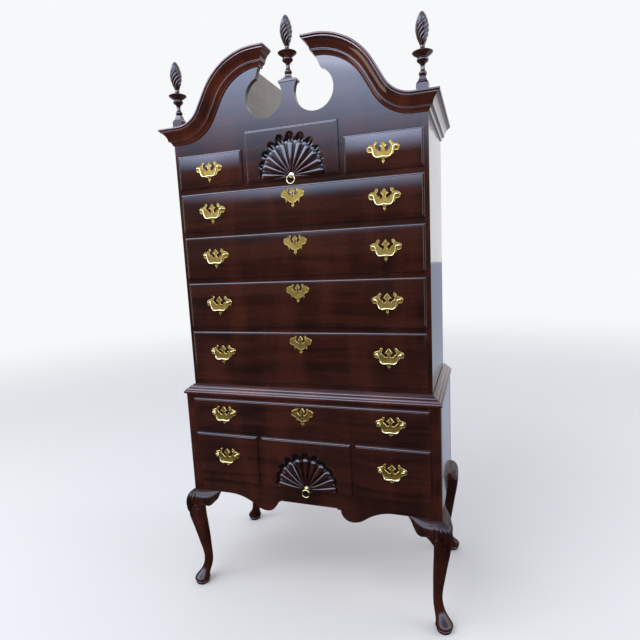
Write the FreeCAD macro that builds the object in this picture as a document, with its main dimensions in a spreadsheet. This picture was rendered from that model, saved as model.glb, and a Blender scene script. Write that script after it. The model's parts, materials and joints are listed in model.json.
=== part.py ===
import FreeCAD, Part
import math
import os
import Sketcher
from FreeCAD import Placement, Rotation, Vector

# A bonnet-top highboy: a chest of drawers on a dressing-table stand with four cabriole legs,
# crowned by a scrolled pediment with flame finials. Millimetres, +X to the right, -Y to the
# front, +Z up. The origin is on the floor, under the middle of the case.

doc = FreeCAD.newDocument("Highboy")
sheet = doc.addObject("Spreadsheet::Sheet", "Dimensions")

driving = {
    # the two cases
    "caseWidth": 965,
    "caseDepth": 480,
    "underside": 408,
    "lowerTop": 805,
    "waistHeight": 32,
    "upperWidth": 910,
    "upperSetBack": 23,
    "corniceLevel": 1732,
    "board": 20,
    "postWidth": 39,
    "backBoard": 10,
    "bottomBoard": 15,
    "topRoom": 10,
    "runnerWidth": 24,
    "runnerHeight": 18,
    "runnerLap": 14,
    "guideHeight": 30,
    "backRebate": 4,
    # drawer rows, as the heights of the lipped fronts
    "fifthRow": 189.5,
    "fourthRow": 166,
    "thirdRow": 152.5,
    "secondRow": 139,
    "firstRow": 119.5,
    "upperGap": 17,
    "bottomReveal": 19.5,
    "smallInnerEdge": 184.5,
    "shellHalfWidth": 168,
    "topShellHeight": 176.5,
    "stileReveal": 14,
    "lowerRowLevel": 459,
    "lowerRow": 192,
    "lowerLong": 124,
    "lowerGap": 14,
    "lowerInnerEdge": 189,
    "lowerShellHalfWidth": 173,
    "lowerStileReveal": 34,
    # drawer construction
    "lipOverlap": 3,
    "lipThickness": 6.5,
    "lipRound": 5,
    "fieldInset": 7.5,
    "fieldRise": 1.5,
    "frontBlock": 14,
    "fitGap": 1.5,
    "seatGap": 0.4,
    "sideThickness": 12,
    "bottomThickness": 7,
    "bottomLift": 9,
    "drawerReach": 430,
    "blindDepth": 5,
    # cabriole legs
    "footRadius": 30,
    "discRadius": 25,
    "discHeight": 9,
    "ankleRadius": 16,
    "kneeHalf": 31.5,
    # apron
    "apronCentre": 402,
    "stepAt": 113,
    "lobeAt": 168,
    "lobeDepth": 53,
    "lobeInnerRadius": 42,
    "lobeOuterRadius": 75,
    "lobeSweep": 38,
    # cornice and swan necks
    "corniceHeight": 55,
    "corniceOut": 38,
    "neckEnd": 102,
    "neckUpperRadius": 172,
    "neckLowerRadius": 150,
    "neckSlope": 60,
    "neckRun": 65,
    "returnDepth": 28,
    "mitreWaste": 30,
    "clearCut": 400,
    "cutHeight": 100,
    "endWaste": 20,
    "roofRise": 38,
    "roofBoard": 10,
    "cheekAt": 160,
    "cheekBoard": 12,
    # scroll board
    "holeAt": 90,
    "holeLevel": 1851,
    "holeRadius": 68,
    "hornFlare": 14,
    "pedestalTop": 1887,
    "capWidth": 64,
    "capDepth": 36,
    "capHeight": 7,
    "pedestalSet": 15,
    # finials
    "plinthAt": 433,
    "plinthWidth": 43,
    "plinthTop": 1823,
    # brass
    "handleAt": 314,
    "lowerHandleAt": 318,
    "boring": 82.5,
    "plateThickness": 1.6,
    "postReach": 13.5,
    "pivotReach": 9.5,
    "postRadius": 4.2,
    "wireRadius": 2,
    "pinClearance": 0.06,
    "ringRadius": 14,
    "ringWire": 1.8,
    # carved shells
    "shellRadius": 113,
    "hubRadius": 12,
    "rayStep": 16.8,
    "hollow": 6,
    "hollowStep": 1,
    "grooveShare": 0.8,
    "shellLevel": 13,
    "lowerShellLevel": 8.5,
}

for row, (name, size) in enumerate(driving.items(), start=1):
    sheet.set(f"A{row}", name)
    sheet.set(f"B{row}", str(size))
    sheet.setAlias(f"B{row}", name)
doc.recompute()


class Measure:
    """A length that knows both its value and its formula in the sheet."""

    def __init__(self, value, formula):
        self.value = value
        self.formula = formula

    def __add__(self, other):
        other = measure(other)
        return Measure(self.value + other.value, f"({self.formula} + {other.formula})")

    def __sub__(self, other):
        other = measure(other)
        return Measure(self.value - other.value, f"({self.formula} - {other.formula})")

    def __mul__(self, other):
        other = measure(other)
        return Measure(self.value * other.value, f"({self.formula} * {other.formula})")

    def __truediv__(self, other):
        other = measure(other)
        return Measure(self.value / other.value, f"({self.formula} / {other.formula})")

    def __radd__(self, other):
        return measure(other) + self

    def __rsub__(self, other):
        return measure(other) - self

    def __rmul__(self, other):
        return measure(other) * self

    def __neg__(self):
        return Measure(-self.value, f"(0 - {self.formula})")


def measure(size):
    """Any number as a Measure."""
    if isinstance(size, Measure):
        return size
    return Measure(float(size), f"({float(size)})" if size < 0 else f"{float(size)}")


def sine(degrees):
    degrees = measure(degrees)
    return Measure(math.sin(math.radians(degrees.value)), f"sin({degrees.formula} * 1 deg)")


def cosine(degrees):
    degrees = measure(degrees)
    return Measure(math.cos(math.radians(degrees.value)), f"cos({degrees.formula} * 1 deg)")


def root(square):
    return Measure(math.sqrt(square.value), f"sqrt({square.formula})")


class Sheet:
    """Reads a driving dimension by its alias, as a Measure."""

    def __getattr__(self, name):
        return Measure(float(driving[name]), f"Dimensions.{name}")


dim = Sheet()


def bind(thing, path, size):
    """Tie one property of an object to the sheet."""
    thing.setExpression(path, measure(size).formula)


def place(thing, x, y, z):
    """Tie an object's position to the sheet."""
    bind(thing, ".Placement.Base.x", x)
    bind(thing, ".Placement.Base.y", y)
    bind(thing, ".Placement.Base.z", z)


def board(name, low, high):
    """A plain board between two opposite corners."""
    box = doc.addObject("Part::Box", name)
    bind(box, "Length", high[0] - measure(low[0]))
    bind(box, "Width", high[1] - measure(low[1]))
    bind(box, "Height", high[2] - measure(low[2]))
    place(box, *low)
    return box


def group(label, pieces):
    """Separate solids that share one node."""
    compound = doc.addObject("Part::Compound", label)
    compound.Label = label
    compound.Links = pieces
    return compound


def copyOf(source, name, x, y, z):
    """Another example of a piece, set down somewhere else."""
    link = doc.addObject("App::Link", name)
    link.LinkedObject = source
    place(link, x, y, z)
    return link


def mirrored(source, name, normal, base=(0, 0)):
    """The opposite hand of a piece, across an upright plane."""
    mirror = doc.addObject("Part::Mirroring", name)
    mirror.Source = source
    mirror.Normal = normal
    bind(mirror, "Base.x", base[0])
    bind(mirror, "Base.y", base[1])
    return mirror


def newBody(label):
    body = doc.addObject("PartDesign::Body", label)
    body.Label = label
    return body


def originFeature(body, role):
    return next(feature for feature in body.Origin.OriginFeatures if feature.Role == role)


def sketchOn(body, role, name, lift=0):
    """An empty sketch on one of the body's origin planes, or lifted off it."""
    sketch = body.newObject("Sketcher::SketchObject", name)
    sketch.AttachmentSupport = [(originFeature(body, role), "")]
    sketch.MapMode = "FlatFace"
    bind(sketch, ".AttachmentOffset.Base.z", lift)
    return sketch


def arcThrough(start, end, radius):
    """The arc shorter than a half turn: it turns left for a positive radius, right otherwise."""
    chord = end - start
    half = chord.Length / 2
    reach = math.sqrt(max(radius * radius - half * half, 0))
    left = Vector(-chord.y, chord.x, 0).normalize()
    side = 1 if radius > 0 else -1
    middle = start + chord / 2 - left * side * (abs(radius) - reach)
    return Part.Arc(start, middle, end)


def trace(sketch, corners, closed=True):
    """Draws an outline and ties every corner and radius to the sheet.

    A corner is (x, y), or (x, y, radius) where an arc leaves it."""
    corners = [tuple(measure(size) for size in corner) for corner in corners]
    points = [Vector(corner[0].value, corner[1].value, 0) for corner in corners]
    count = len(corners) if closed else len(corners) - 1
    shapes = []
    starts = []
    for index in range(count):
        start, end = points[index], points[(index + 1) % len(points)]
        if len(corners[index]) == 3:
            shapes.append(arcThrough(start, end, corners[index][2].value))
            starts.append(1 if corners[index][2].value > 0 else 2)
        else:
            shapes.append(Part.LineSegment(start, end))
            starts.append(1)
    first = sketch.addGeometry(shapes, False)[0]
    rules = []
    formulas = []
    for index in range(count):
        edge, start, corner = first + index, starts[index], corners[index]
        after = (index + 1) % count
        if closed or after:
            rules.append(Sketcher.Constraint("Coincident", edge, 3 - start, first + after, starts[after]))
            formulas.append(None)
        ends = [(start, corner)]
        if not closed and index == count - 1:
            ends.append((3 - start, corners[-1]))
        for end, spot in ends:
            rules.append(Sketcher.Constraint("DistanceX", edge, end, spot[0].value))
            formulas.append(spot[0].formula)
            rules.append(Sketcher.Constraint("DistanceY", edge, end, spot[1].value))
            formulas.append(spot[1].formula)
        if len(corner) == 3:
            rules.append(Sketcher.Constraint("Radius", edge, abs(corner[2].value)))
            formulas.append(f"abs({corner[2].formula})")
    numbers = sketch.addConstraint(rules)
    for number, formula in zip(numbers, formulas):
        if formula:
            sketch.setExpression(f"Constraints[{number}]", formula)
    return sketch


def wholeOf(body, name, half):
    """Completes a symmetrical piece from the half on the right."""
    whole = body.newObject("PartDesign::Mirrored", name)
    whole.Originals = [half]
    whole.MirrorPlane = (half.Profile[0], ["V_Axis"])
    body.Tip = whole
    return whole


def rectangle(low, high):
    return [(low[0], low[1]), (high[0], low[1]), (high[0], high[1]), (low[0], high[1])]


def polygon(sides, corner, middle=(0, 0)):
    """A regular polygon with a flat side on top, its corners at a distance from its middle."""
    turns = [360 * (number + 0.5) / sides for number in range(sides)]
    return [(middle[0] + corner * sine(turn), middle[1] + corner * cosine(turn)) for turn in turns]


def extrude(body, kind, name, sketch, length, backwards=False):
    """A pad or a pocket of a sketch."""
    feature = body.newObject(kind, name)
    feature.Profile = sketch
    feature.Reversed = backwards
    bind(feature, "Length", length)
    return feature


def pad(body, name, role, corners, length, lift=0, backwards=False):
    sketch = trace(sketchOn(body, role, name + "Outline", lift), corners)
    return extrude(body, "PartDesign::Pad", name, sketch, length, backwards)


def pocket(body, name, role, corners, length, lift=0, backwards=False):
    sketch = trace(sketchOn(body, role, name + "Outline", lift), corners)
    return extrude(body, "PartDesign::Pocket", name, sketch, length, backwards)


# Levels and planes that many pieces share.
front = -dim.caseDepth / 2
back = dim.caseDepth / 2
upperFront = front + dim.upperSetBack
halfCase = dim.caseWidth / 2
halfUpper = dim.upperWidth / 2
waistTop = dim.lowerTop + dim.waistHeight
postInner = halfCase - dim.postWidth
upperInner = halfUpper - dim.board

nodes = []


# ---------------------------------------------------------------- cabriole legs

def roundedSquare(middle, half, corner):
    """A leg's cross-section: a square whose arrises are taken off."""
    flat = half - corner * (1 - sine(22.5))
    outline = []
    for across, along in ((1, -1), (1, 1), (-1, 1), (-1, -1)):
        spots = [(flat, half), (half, flat)]
        if across * along > 0:
            spots.reverse()
        for x, y in spots:
            outline.append((middle + across * x, along * y - middle))
    return outline


def cabrioleLeg():
    """The front right leg. Its own origin is on the floor under the corner of the case.

    Each section leans along the diagonal of the corner: out at the knee, in at the ankle."""
    leg = newBody("CabrioleLeg")
    ankle = dim.ankleRadius
    knee = dim.kneeHalf
    sections = [
        # height, lean along x and y, half width, corner radius
        (dim.discHeight - 1, 2, dim.footRadius - 4, dim.footRadius - 5),
        (22, 2, dim.footRadius, dim.footRadius - 1),
        (42, -1, dim.footRadius - 1.5, dim.footRadius - 2.5),
        (60, -9.5, ankle + 7.5, ankle + 6.5),
        (80, -18.5, ankle + 1.3, ankle + 0.3),
        (104, -20.5, ankle, ankle - 1),
        (176, -15.5, ankle + 3, 12),
        (250, -7, ankle + 7, 10),
        (308, 0, knee - 4, 10),
        (345, 0, knee - 1, 10),
        (372, -3.5, knee - 1, 9),
        (392, -11, knee - 6.5, 7),
        (dim.underside, -dim.postWidth / 2, dim.postWidth / 2, 2),
    ]
    sketches = []
    for number, (height, lean, half, corner) in enumerate(sections):
        lean, half, corner = measure(lean), measure(half), measure(corner)
        sketch = sketchOn(leg, "XY_Plane", f"LegSection{number}", height)
        sketches.append(trace(sketch, roundedSquare(lean, half, corner)))
    loft = leg.newObject("PartDesign::AdditiveLoft", "LegLoft")
    loft.Profile = sketches[0]
    loft.Sections = sketches[1:]
    place(leg, halfCase, front, 0)
    corner = rectangle((-dim.postWidth, 0), (0, dim.postWidth))
    pad(leg, "Post", "XY_Plane", corner, dim.lowerTop - dim.underside, lift=dim.underside)
    disc = roundedSquare(measure(2), dim.discRadius, dim.discRadius - 1)
    pad(leg, "FootDisc", "XY_Plane", disc, dim.discHeight)
    return leg


def kneeBlock():
    """The bracket beside the front right knee, glued under the apron.

    A cyma outline seen from the front, thinning away from the knee seen from above."""
    block = newBody("KneeBlock")
    low = dim.underside - 62
    outline = [
        (-dim.postWidth - 74, dim.underside),
        (-dim.postWidth - 66, dim.underside - 3),
        (-dim.postWidth - 55, dim.underside - 10),
        (-dim.postWidth - 48, dim.underside - 22),
        (-dim.postWidth - 43, dim.underside - 40),
        (-dim.postWidth - 36, dim.underside - 51),
        (-dim.postWidth - 24, low + 3),
        (-dim.postWidth - 6, low),
        (-31, dim.underside - 64),
        (-34.5, dim.underside - 36),
        (-36.8, dim.underside - 16),
        (-dim.postWidth, dim.underside),
    ]
    pad(block, "BlockShape", "XZ_Plane", outline, 60, lift=-20)
    taper = [
        (-dim.postWidth - 80, -60),
        (-dim.postWidth + 20, -60),
        (-dim.postWidth + 20, -25),
        (-dim.postWidth + 6, -24),
        (-dim.postWidth - 34, -14),
        (-dim.postWidth - 76, 0),
        (-dim.postWidth - 80, 0),
    ]
    pocket(block, "BlockTaper", "XY_Plane", taper, dim.clearCut, lift=dim.underside + dim.cutHeight)
    place(block, halfCase, front, 0)
    return block


def legsAndBlocks():
    leg = cabrioleLeg()
    across = Vector(1, 0, 0)
    along = Vector(0, 1, 0)
    frontLeft = mirrored(leg, "FrontLeftLeg", across)
    pieces = [leg, frontLeft, mirrored(leg, "RearRightLeg", along), mirrored(frontLeft, "RearLeftLeg", along)]
    nodes.append(group("cabriole_legs", pieces))
    frontBlock = kneeBlock()
    # A side bracket is the front one turned about the corner's diagonal.
    sideBlock = mirrored(frontBlock, "RightSideFrontBlock", Vector(1, 1, 0), (halfCase, front))
    sideRear = mirrored(sideBlock, "RightSideRearBlock", along)
    pieces = [frontBlock, sideBlock, sideRear]
    for piece in (frontBlock, sideBlock, sideRear):
        pieces.append(mirrored(piece, piece.Name + "Left", across))
    nodes.append(group("knee_blocks", pieces))


# ---------------------------------------------------------------- lower case

def apronEdge():
    """Right half of the scalloped lower edge, from the middle out to the post."""
    lobeLow = dim.underside - dim.lobeDepth
    sweepAcross = dim.lobeAt + dim.lobeOuterRadius * sine(dim.lobeSweep)
    sweepUp = lobeLow + dim.lobeOuterRadius * (1 - cosine(dim.lobeSweep))
    flatRadius = (dim.underside - sweepUp) / (1 - cosine(dim.lobeSweep))
    flatAt = sweepAcross + flatRadius * sine(dim.lobeSweep)
    shoulder = dim.lobeAt - dim.lobeInnerRadius
    return [
        (dim.stepAt, dim.apronCentre),
        (dim.stepAt, lobeLow + dim.lobeInnerRadius),
        (shoulder, lobeLow + dim.lobeInnerRadius, dim.lobeInnerRadius),
        (dim.lobeAt, lobeLow, dim.lobeOuterRadius),
        (sweepAcross, sweepUp, -flatRadius),
        (flatAt, dim.underside),
        (postInner, dim.underside),
    ]


def scallopedApron():
    """The shaped rail under the bottom row, tenoned between the front legs."""
    apron = newBody("scalloped_apron")
    outline = [(0, dim.apronCentre)] + apronEdge() + [(postInner, openingLow), (0, openingLow)]
    half = pad(apron, "ApronHalf", "XZ_Plane", outline, dim.board, backwards=True)
    wholeOf(apron, "ApronWhole", half)
    place(apron, 0, front, 0)
    nodes.append(apron)


openingLow = dim.lowerRowLevel + dim.lipOverlap
lowerRowTop = dim.lowerRowLevel + dim.lowerRow
lowerLongLevel = lowerRowTop + dim.lowerGap
lowerLongTop = lowerLongLevel + dim.lowerLong


def lowerCarcase():
    """Sides and back framed between the legs, with the rails and runners of two rows."""
    sideFront = front + dim.postWidth
    sideBack = back - dim.postWidth
    rail = front + dim.board
    lap = dim.lipOverlap
    foot = dim.underside
    top = dim.lowerTop
    wallInner = halfCase - dim.board
    boxBack = back - dim.backRebate - dim.backBoard
    pieces = [
        board("LowerRightSide", (wallInner, sideFront, foot), (halfCase, sideBack, top)),
        board("LowerLeftSide", (-halfCase, sideFront, foot), (-wallInner, sideBack, top)),
        board("LowerBack", (-postInner, boxBack, foot), (postInner, back - dim.backRebate, top)),
        board("TopRail", (-postInner, front, lowerLongTop - lap), (postInner, rail, top)),
        board("MiddleRail", (-postInner, front, lowerRowTop - lap), (postInner, rail, lowerLongLevel + lap)),
    ]
    inner = dim.lowerShellHalfWidth - lap
    outer = dim.lowerInnerEdge + lap
    level = lowerRowTop - lap
    for side, name in ((1, "Right"), (-1, "Left")):
        low = inner if side > 0 else -outer
        high = outer if side > 0 else -inner
        pieces.append(board(f"{name}Partition", (low, front, openingLow), (high, boxBack, level)))
        for row, height in (("Upper", lowerLongLevel + lap), ("Lower", openingLow)):
            start = postInner if side > 0 else -wallInner
            end = wallInner if side > 0 else -postInner
            foot = height - dim.runnerHeight
            guideTop = (end, sideBack, height + dim.guideHeight)
            pieces.append(board(f"{name}{row}Guide", (start, sideFront, foot), guideTop))
            start = postInner - dim.runnerWidth if side > 0 else -postInner
            end = postInner if side > 0 else dim.runnerWidth - postInner
            pieces.append(board(f"{name}{row}Runner", (start, rail, foot), (end, boxBack, height)))
        low = (inner if side > 0 else -outer) - dim.runnerLap
        high = (outer if side > 0 else -inner) + dim.runnerLap
        runner = f"{name}MiddleRunner"
        pieces.append(board(runner, (low, rail, openingLow - dim.runnerHeight), (high, boxBack, openingLow)))
    nodes.append(group("lower_carcase", pieces))


# ---------------------------------------------------------------- mouldings

def mitreFront(body, name, corner, out, level, sign):
    """Cuts a front moulding's end at 45 degrees, outwards from a corner of the case."""
    far = out + dim.mitreWaste
    outline = [(corner, 0), (corner + sign * far, -far), (corner + sign * far, 0)]
    pocket(body, name, "XY_Plane", outline, dim.clearCut, lift=level)


def mouldingSide(name, profile, corner, length, out, level):
    """A moulding that runs back from the front right corner, mitred there."""
    body = newBody(name)
    outline = [(corner + across, up) for across, up in profile]
    pad(body, name + "Run", "XZ_Plane", outline, length + out + 5, lift=out + 5, backwards=True)
    far = out + dim.mitreWaste
    triangle = [(corner, 0), (corner, -far), (corner + far, -far)]
    pocket(body, name + "Mitre", "XY_Plane", triangle, dim.clearCut, lift=level)
    return body


def waistProfile():
    """Three reeded steps that spread from the upper case to a nosing past the lower one."""
    foot = dim.lowerTop
    nose = halfCase - halfUpper + 3.5
    return [
        (0, foot),
        (nose, foot),
        (nose, foot + 1.5),
        (nose + 2.5, foot + 4),
        (nose + 2.5, foot + 9),
        (nose, foot + 11.5),
        (nose - 3, foot + 12.5),
        (nose - 5, foot + 17),
        (nose - 11, foot + 20),
        (nose - 13, foot + 20.5),
        (nose - 15.5, foot + 25),
        (nose - 21, foot + 27.5),
        (nose - 24, foot + 28),
        (nose - 25, waistTop),
        (0, waistTop),
    ]


def waistMoulding():
    out = halfCase - halfUpper + 8
    top = waistTop + dim.cutHeight
    side = mouldingSide("WaistRight", waistProfile(), halfUpper, back - upperFront, out, top)
    place(side, 0, upperFront, 0)
    left = mirrored(side, "WaistLeft", Vector(1, 0, 0))
    run = newBody("WaistFront")
    sketch = sketchOn(run, "YZ_Plane", "WaistSection", -halfCase - dim.endWaste)
    trace(sketch, [(-out, up) for out, up in waistProfile()])
    extrude(run, "PartDesign::Pad", "WaistRun", sketch, dim.caseWidth + dim.endWaste * 2)
    mitreFront(run, "WaistMitreRight", halfUpper, out, top, 1)
    mitreFront(run, "WaistMitreLeft", -halfUpper, out, top, -1)
    place(run, 0, upperFront, 0)
    nodes.append(group("waist_moulding", [run, side, left]))


def corniceProfile():
    """The crown section, out from the wall and up: ovolo, fillet, wide cove in flats, and lip."""
    foot = dim.corniceLevel
    out = dim.corniceOut
    top = foot + dim.corniceHeight
    return [
        (0, foot),
        (4, foot),
        (5, foot + 7),
        (12, foot + 12),
        (12, foot + 14),
        (15, foot + 14),
        (15, foot + 20),
        (17.5, foot + 30.5),
        (24.5, foot + 39.5),
        (out - 4, foot + 44),
        (out - 4, top - 8),
        (out, top - 8),
        (out, top),
        (0, top),
    ]


neckRise = (
    (dim.neckUpperRadius + dim.neckLowerRadius) * (1 - cosine(dim.neckSlope))
    + dim.neckRun * sine(dim.neckSlope)
)
neckReach = (
    (dim.neckUpperRadius + dim.neckLowerRadius) * sine(dim.neckSlope)
    + dim.neckRun * cosine(dim.neckSlope)
)
crestLevel = dim.corniceLevel + neckRise
flatStart = dim.neckEnd + neckReach


def neckCurve(offset):
    """The S-curve of the swan neck from crest to flat, raised square to itself by an offset."""
    upper = dim.neckUpperRadius + offset
    lower = dim.neckLowerRadius - offset
    crest = crestLevel - dim.neckUpperRadius
    dip = dim.corniceLevel + dim.neckLowerRadius
    return [
        (dim.neckEnd, crest + upper, -upper),
        (dim.neckEnd + upper * sine(dim.neckSlope), crest + upper * cosine(dim.neckSlope)),
        (flatStart - lower * sine(dim.neckSlope), dip - lower * cosine(dim.neckSlope), lower),
        (flatStart, dip - lower),
    ]


def swanNeck():
    """The crown moulding bent along the scroll, mitred at the corner and at its inner end."""
    neck = newBody("SwanNeck")
    inner = dim.neckEnd - dim.corniceOut - 5
    path = sketchOn(neck, "XZ_Plane", "NeckPath")
    outer = halfUpper + dim.corniceOut + 5
    trace(path, [(inner, crestLevel)] + neckCurve(0) + [(outer, dim.corniceLevel)], closed=False)
    section = sketchOn(neck, "YZ_Plane", "NeckSection", inner)
    lift = crestLevel - dim.corniceLevel
    trace(section, [(-out, up + lift) for out, up in corniceProfile()])
    pipe = neck.newObject("PartDesign::AdditivePipe", "NeckSweep")
    pipe.Profile = section
    pipe.Spine = path
    mitreFront(neck, "NeckCornerMitre", halfUpper, dim.corniceOut, crestLevel + dim.cutHeight, 1)
    mitreFront(neck, "NeckEndMitre", dim.neckEnd, dim.corniceOut, crestLevel + dim.cutHeight, -1)
    return neck


def neckReturn():
    """The short return that carries the crown round the neck's inner end."""
    body = newBody("NeckReturn")
    lift = crestLevel - dim.corniceLevel
    outline = [(dim.neckEnd - out, up + lift) for out, up in corniceProfile()]
    reach = dim.corniceOut + 5
    pad(body, "ReturnRun", "XZ_Plane", outline, dim.returnDepth + reach, lift=reach, backwards=True)
    far = dim.corniceOut + dim.mitreWaste
    triangle = [(dim.neckEnd, 0), (dim.neckEnd - far, -far), (dim.neckEnd, -far)]
    pocket(body, "ReturnMitre", "XY_Plane", triangle, dim.clearCut, lift=crestLevel + dim.cutHeight)
    return body


def swanNeckCornice():
    depth = back - upperFront
    side = mouldingSide("CorniceRight", corniceProfile(), halfUpper, depth, dim.corniceOut, crestLevel)
    pieces = []
    for piece in (swanNeck(), neckReturn(), side):
        place(piece, 0, upperFront, 0)
        pieces.append(piece)
        pieces.append(mirrored(piece, piece.Name + "Left", Vector(1, 0, 0)))
    nodes.append(group("swan_neck_cornice", pieces))


# ---------------------------------------------------------------- upper case

rowHeights = [dim.fifthRow, dim.fourthRow, dim.thirdRow, dim.secondRow, dim.firstRow]
rowLevels = [waistTop + dim.bottomReveal]
for height in rowHeights[:-1]:
    rowLevels.append(rowLevels[-1] + height + dim.upperGap)
firstRowTop = rowLevels[-1] + dim.firstRow


def upperCase():
    """Sides, back and bottom, then the rails, partitions and runners between the drawers."""
    roofTop = dim.corniceLevel + dim.roofRise
    caseTop = rowLevels[-1] + dim.topShellHeight + dim.topRoom
    foot = dim.lowerTop
    boxBack = back - dim.backRebate - dim.backBoard
    bottomHigh = (upperInner, boxBack, foot + dim.bottomBoard)
    boards = [
        board("UpperRightSide", (upperInner, upperFront, foot), (halfUpper, back, roofTop)),
        board("UpperLeftSide", (-halfUpper, upperFront, foot), (-upperInner, back, roofTop)),
        board("UpperBack", (-upperInner, boxBack, foot), (upperInner, back - dim.backRebate, caseTop)),
        board("UpperBottom", (-upperInner, upperFront + dim.board, foot), bottomHigh),
    ]
    nodes.append(group("upper_sides_and_back", boards))
    lap = dim.lipOverlap
    rail = upperFront + dim.board
    pieces = [board("BottomRail", (-upperInner, upperFront, foot), (upperInner, rail, rowLevels[0] + lap))]
    for number in range(1, len(rowLevels)):
        low = rowLevels[number] - dim.upperGap - lap
        high = rowLevels[number] + lap
        pieces.append(board(f"Rail{number}", (-upperInner, upperFront, low), (upperInner, rail, high)))
    for number, level in enumerate(rowLevels):
        top = level + lap
        for side, name in ((1, "Right"), (-1, "Left")):
            low = upperInner - dim.runnerWidth if side > 0 else -upperInner
            high = upperInner if side > 0 else dim.runnerWidth - upperInner
            runner = f"{name}Runner{number}"
            pieces.append(board(runner, (low, rail, top - dim.runnerHeight), (high, boxBack, top)))
    inner = dim.shellHalfWidth - lap
    outer = dim.smallInnerEdge + lap
    low = rowLevels[-1] + lap
    high = firstRowTop - lap
    for side, name in ((1, "Right"), (-1, "Left")):
        start = inner if side > 0 else -outer
        end = outer if side > 0 else -inner
        pieces.append(board(f"{name}TopPartition", (start, upperFront, low), (end, boxBack, high)))
        start = (inner if side > 0 else -outer) - dim.runnerLap
        end = (outer if side > 0 else -inner) + dim.runnerLap
        runner = f"{name}PartitionRunner"
        pieces.append(board(runner, (start, rail, low - dim.runnerHeight), (end, boxBack, low)))
    nodes.append(group("upper_rails_and_runners", pieces))


def scrollBoard():
    """The pediment board: two round openings that leave a pedestal for the middle finial."""
    body = newBody("scroll_board")
    lap = dim.lipOverlap
    low = firstRowTop - lap
    notch = rowLevels[-1] + dim.topShellHeight - lap
    high = neckCurve(dim.roofRise)
    radius = dim.holeRadius
    horn = dim.neckEnd + dim.hornFlare
    opening = horn - dim.holeAt
    shoulder = dim.pedestalTop - dim.holeLevel
    outline = [
        (0, notch),
        (dim.shellHalfWidth - lap, notch),
        (dim.shellHalfWidth - lap, low),
        (upperInner, low),
        (upperInner, dim.corniceLevel + dim.roofRise),
        (high[3][0], high[3][1], -(dim.neckLowerRadius - dim.roofRise)),
        (high[2][0], high[2][1]),
        (high[1][0], high[1][1], dim.neckUpperRadius + dim.roofRise),
        (high[0][0], high[0][1]),
        (dim.neckEnd, crestLevel),
        (horn, dim.holeLevel + root(radius * radius - opening * opening), -radius),
        (dim.holeAt, dim.holeLevel - radius, -radius),
        (dim.holeAt - root(radius * radius - shoulder * shoulder), dim.pedestalTop),
        (0, dim.pedestalTop),
    ]
    half = pad(body, "ScrollHalf", "XZ_Plane", outline, dim.board, backwards=True)
    wholeOf(body, "ScrollWhole", half)
    place(body, 0, upperFront, 0)
    nodes.append(body)


def bonnet():
    """Roof boards that follow the scrolls to the back, cheeks inside them, and the pedestal cap."""
    roof = newBody("BonnetRoof")
    start = dim.cheekAt + dim.cheekBoard
    aside = start - dim.neckEnd
    crest = crestLevel - dim.neckUpperRadius
    rise = dim.roofRise
    outer = dim.neckUpperRadius + rise
    inner = outer - dim.roofBoard
    top = neckCurve(rise)
    under = neckCurve(rise - dim.roofBoard)
    outline = [
        (start, crest + root(inner * inner - aside * aside), -inner),
        (under[1][0], under[1][1]),
        (under[2][0], under[2][1], under[2][2]),
        (under[3][0], under[3][1]),
        (upperInner, under[3][1]),
        (upperInner, top[3][1]),
        (top[3][0], top[3][1], -top[2][2]),
        (top[2][0], top[2][1]),
        (top[1][0], top[1][1], outer),
        (start, crest + root(outer * outer - aside * aside)),
    ]
    length = back - upperFront - dim.board
    pad(roof, "RoofBoard", "XZ_Plane", outline, length, lift=-dim.board, backwards=True)
    place(roof, 0, upperFront, 0)
    shut = newBody("BonnetBack")
    floor = rowLevels[-1] + dim.topShellHeight + dim.topRoom
    outline = outline[:4] + [(upperInner, floor), (start, floor)]
    pad(shut, "BackBoard", "XZ_Plane", outline, dim.backBoard)
    place(shut, 0, back - dim.backRebate, 0)
    aside = dim.cheekAt - dim.neckEnd
    cheekTop = crest + root(outer * outer - aside * aside)
    cheekHigh = (start, back - dim.backRebate, cheekTop)
    cheek = board("BonnetCheek", (dim.cheekAt, upperFront + dim.board, floor), cheekHigh)
    boxBack = back - dim.backRebate - dim.backBoard
    topLow = (-upperInner, upperFront + dim.board, floor - dim.roofBoard)
    caseTop = board("CaseTop", topLow, (upperInner, boxBack, floor))
    half = dim.capWidth / 2
    capLow = (-half, upperFront - 3, dim.pedestalTop)
    cap = board("PedestalCap", capLow, (half, upperFront - 3 + dim.capDepth, dim.pedestalTop + dim.capHeight))
    pieces = [caseTop, cap, roof, shut, cheek]
    for piece in (roof, shut, cheek):
        pieces.append(mirrored(piece, piece.Name + "Left", Vector(1, 0, 0)))
    nodes.append(group("bonnet", pieces))


# ---------------------------------------------------------------- finials

def finialProfile():
    """Right edge of a turned finial: flared base, bead, neck, cup and flame."""
    return [
        (20, 0),
        (20, 4),
        (8, 16),
        (12.5, 26),
        (7, 37),
        (7, 48),
        (18, 62),
        (15.5, 73),
        (32, 86),
        (7, 105),
        (17.5, 126),
        (20.5, 148),
        (12, 178),
        (0.5, 203),
    ]


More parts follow.
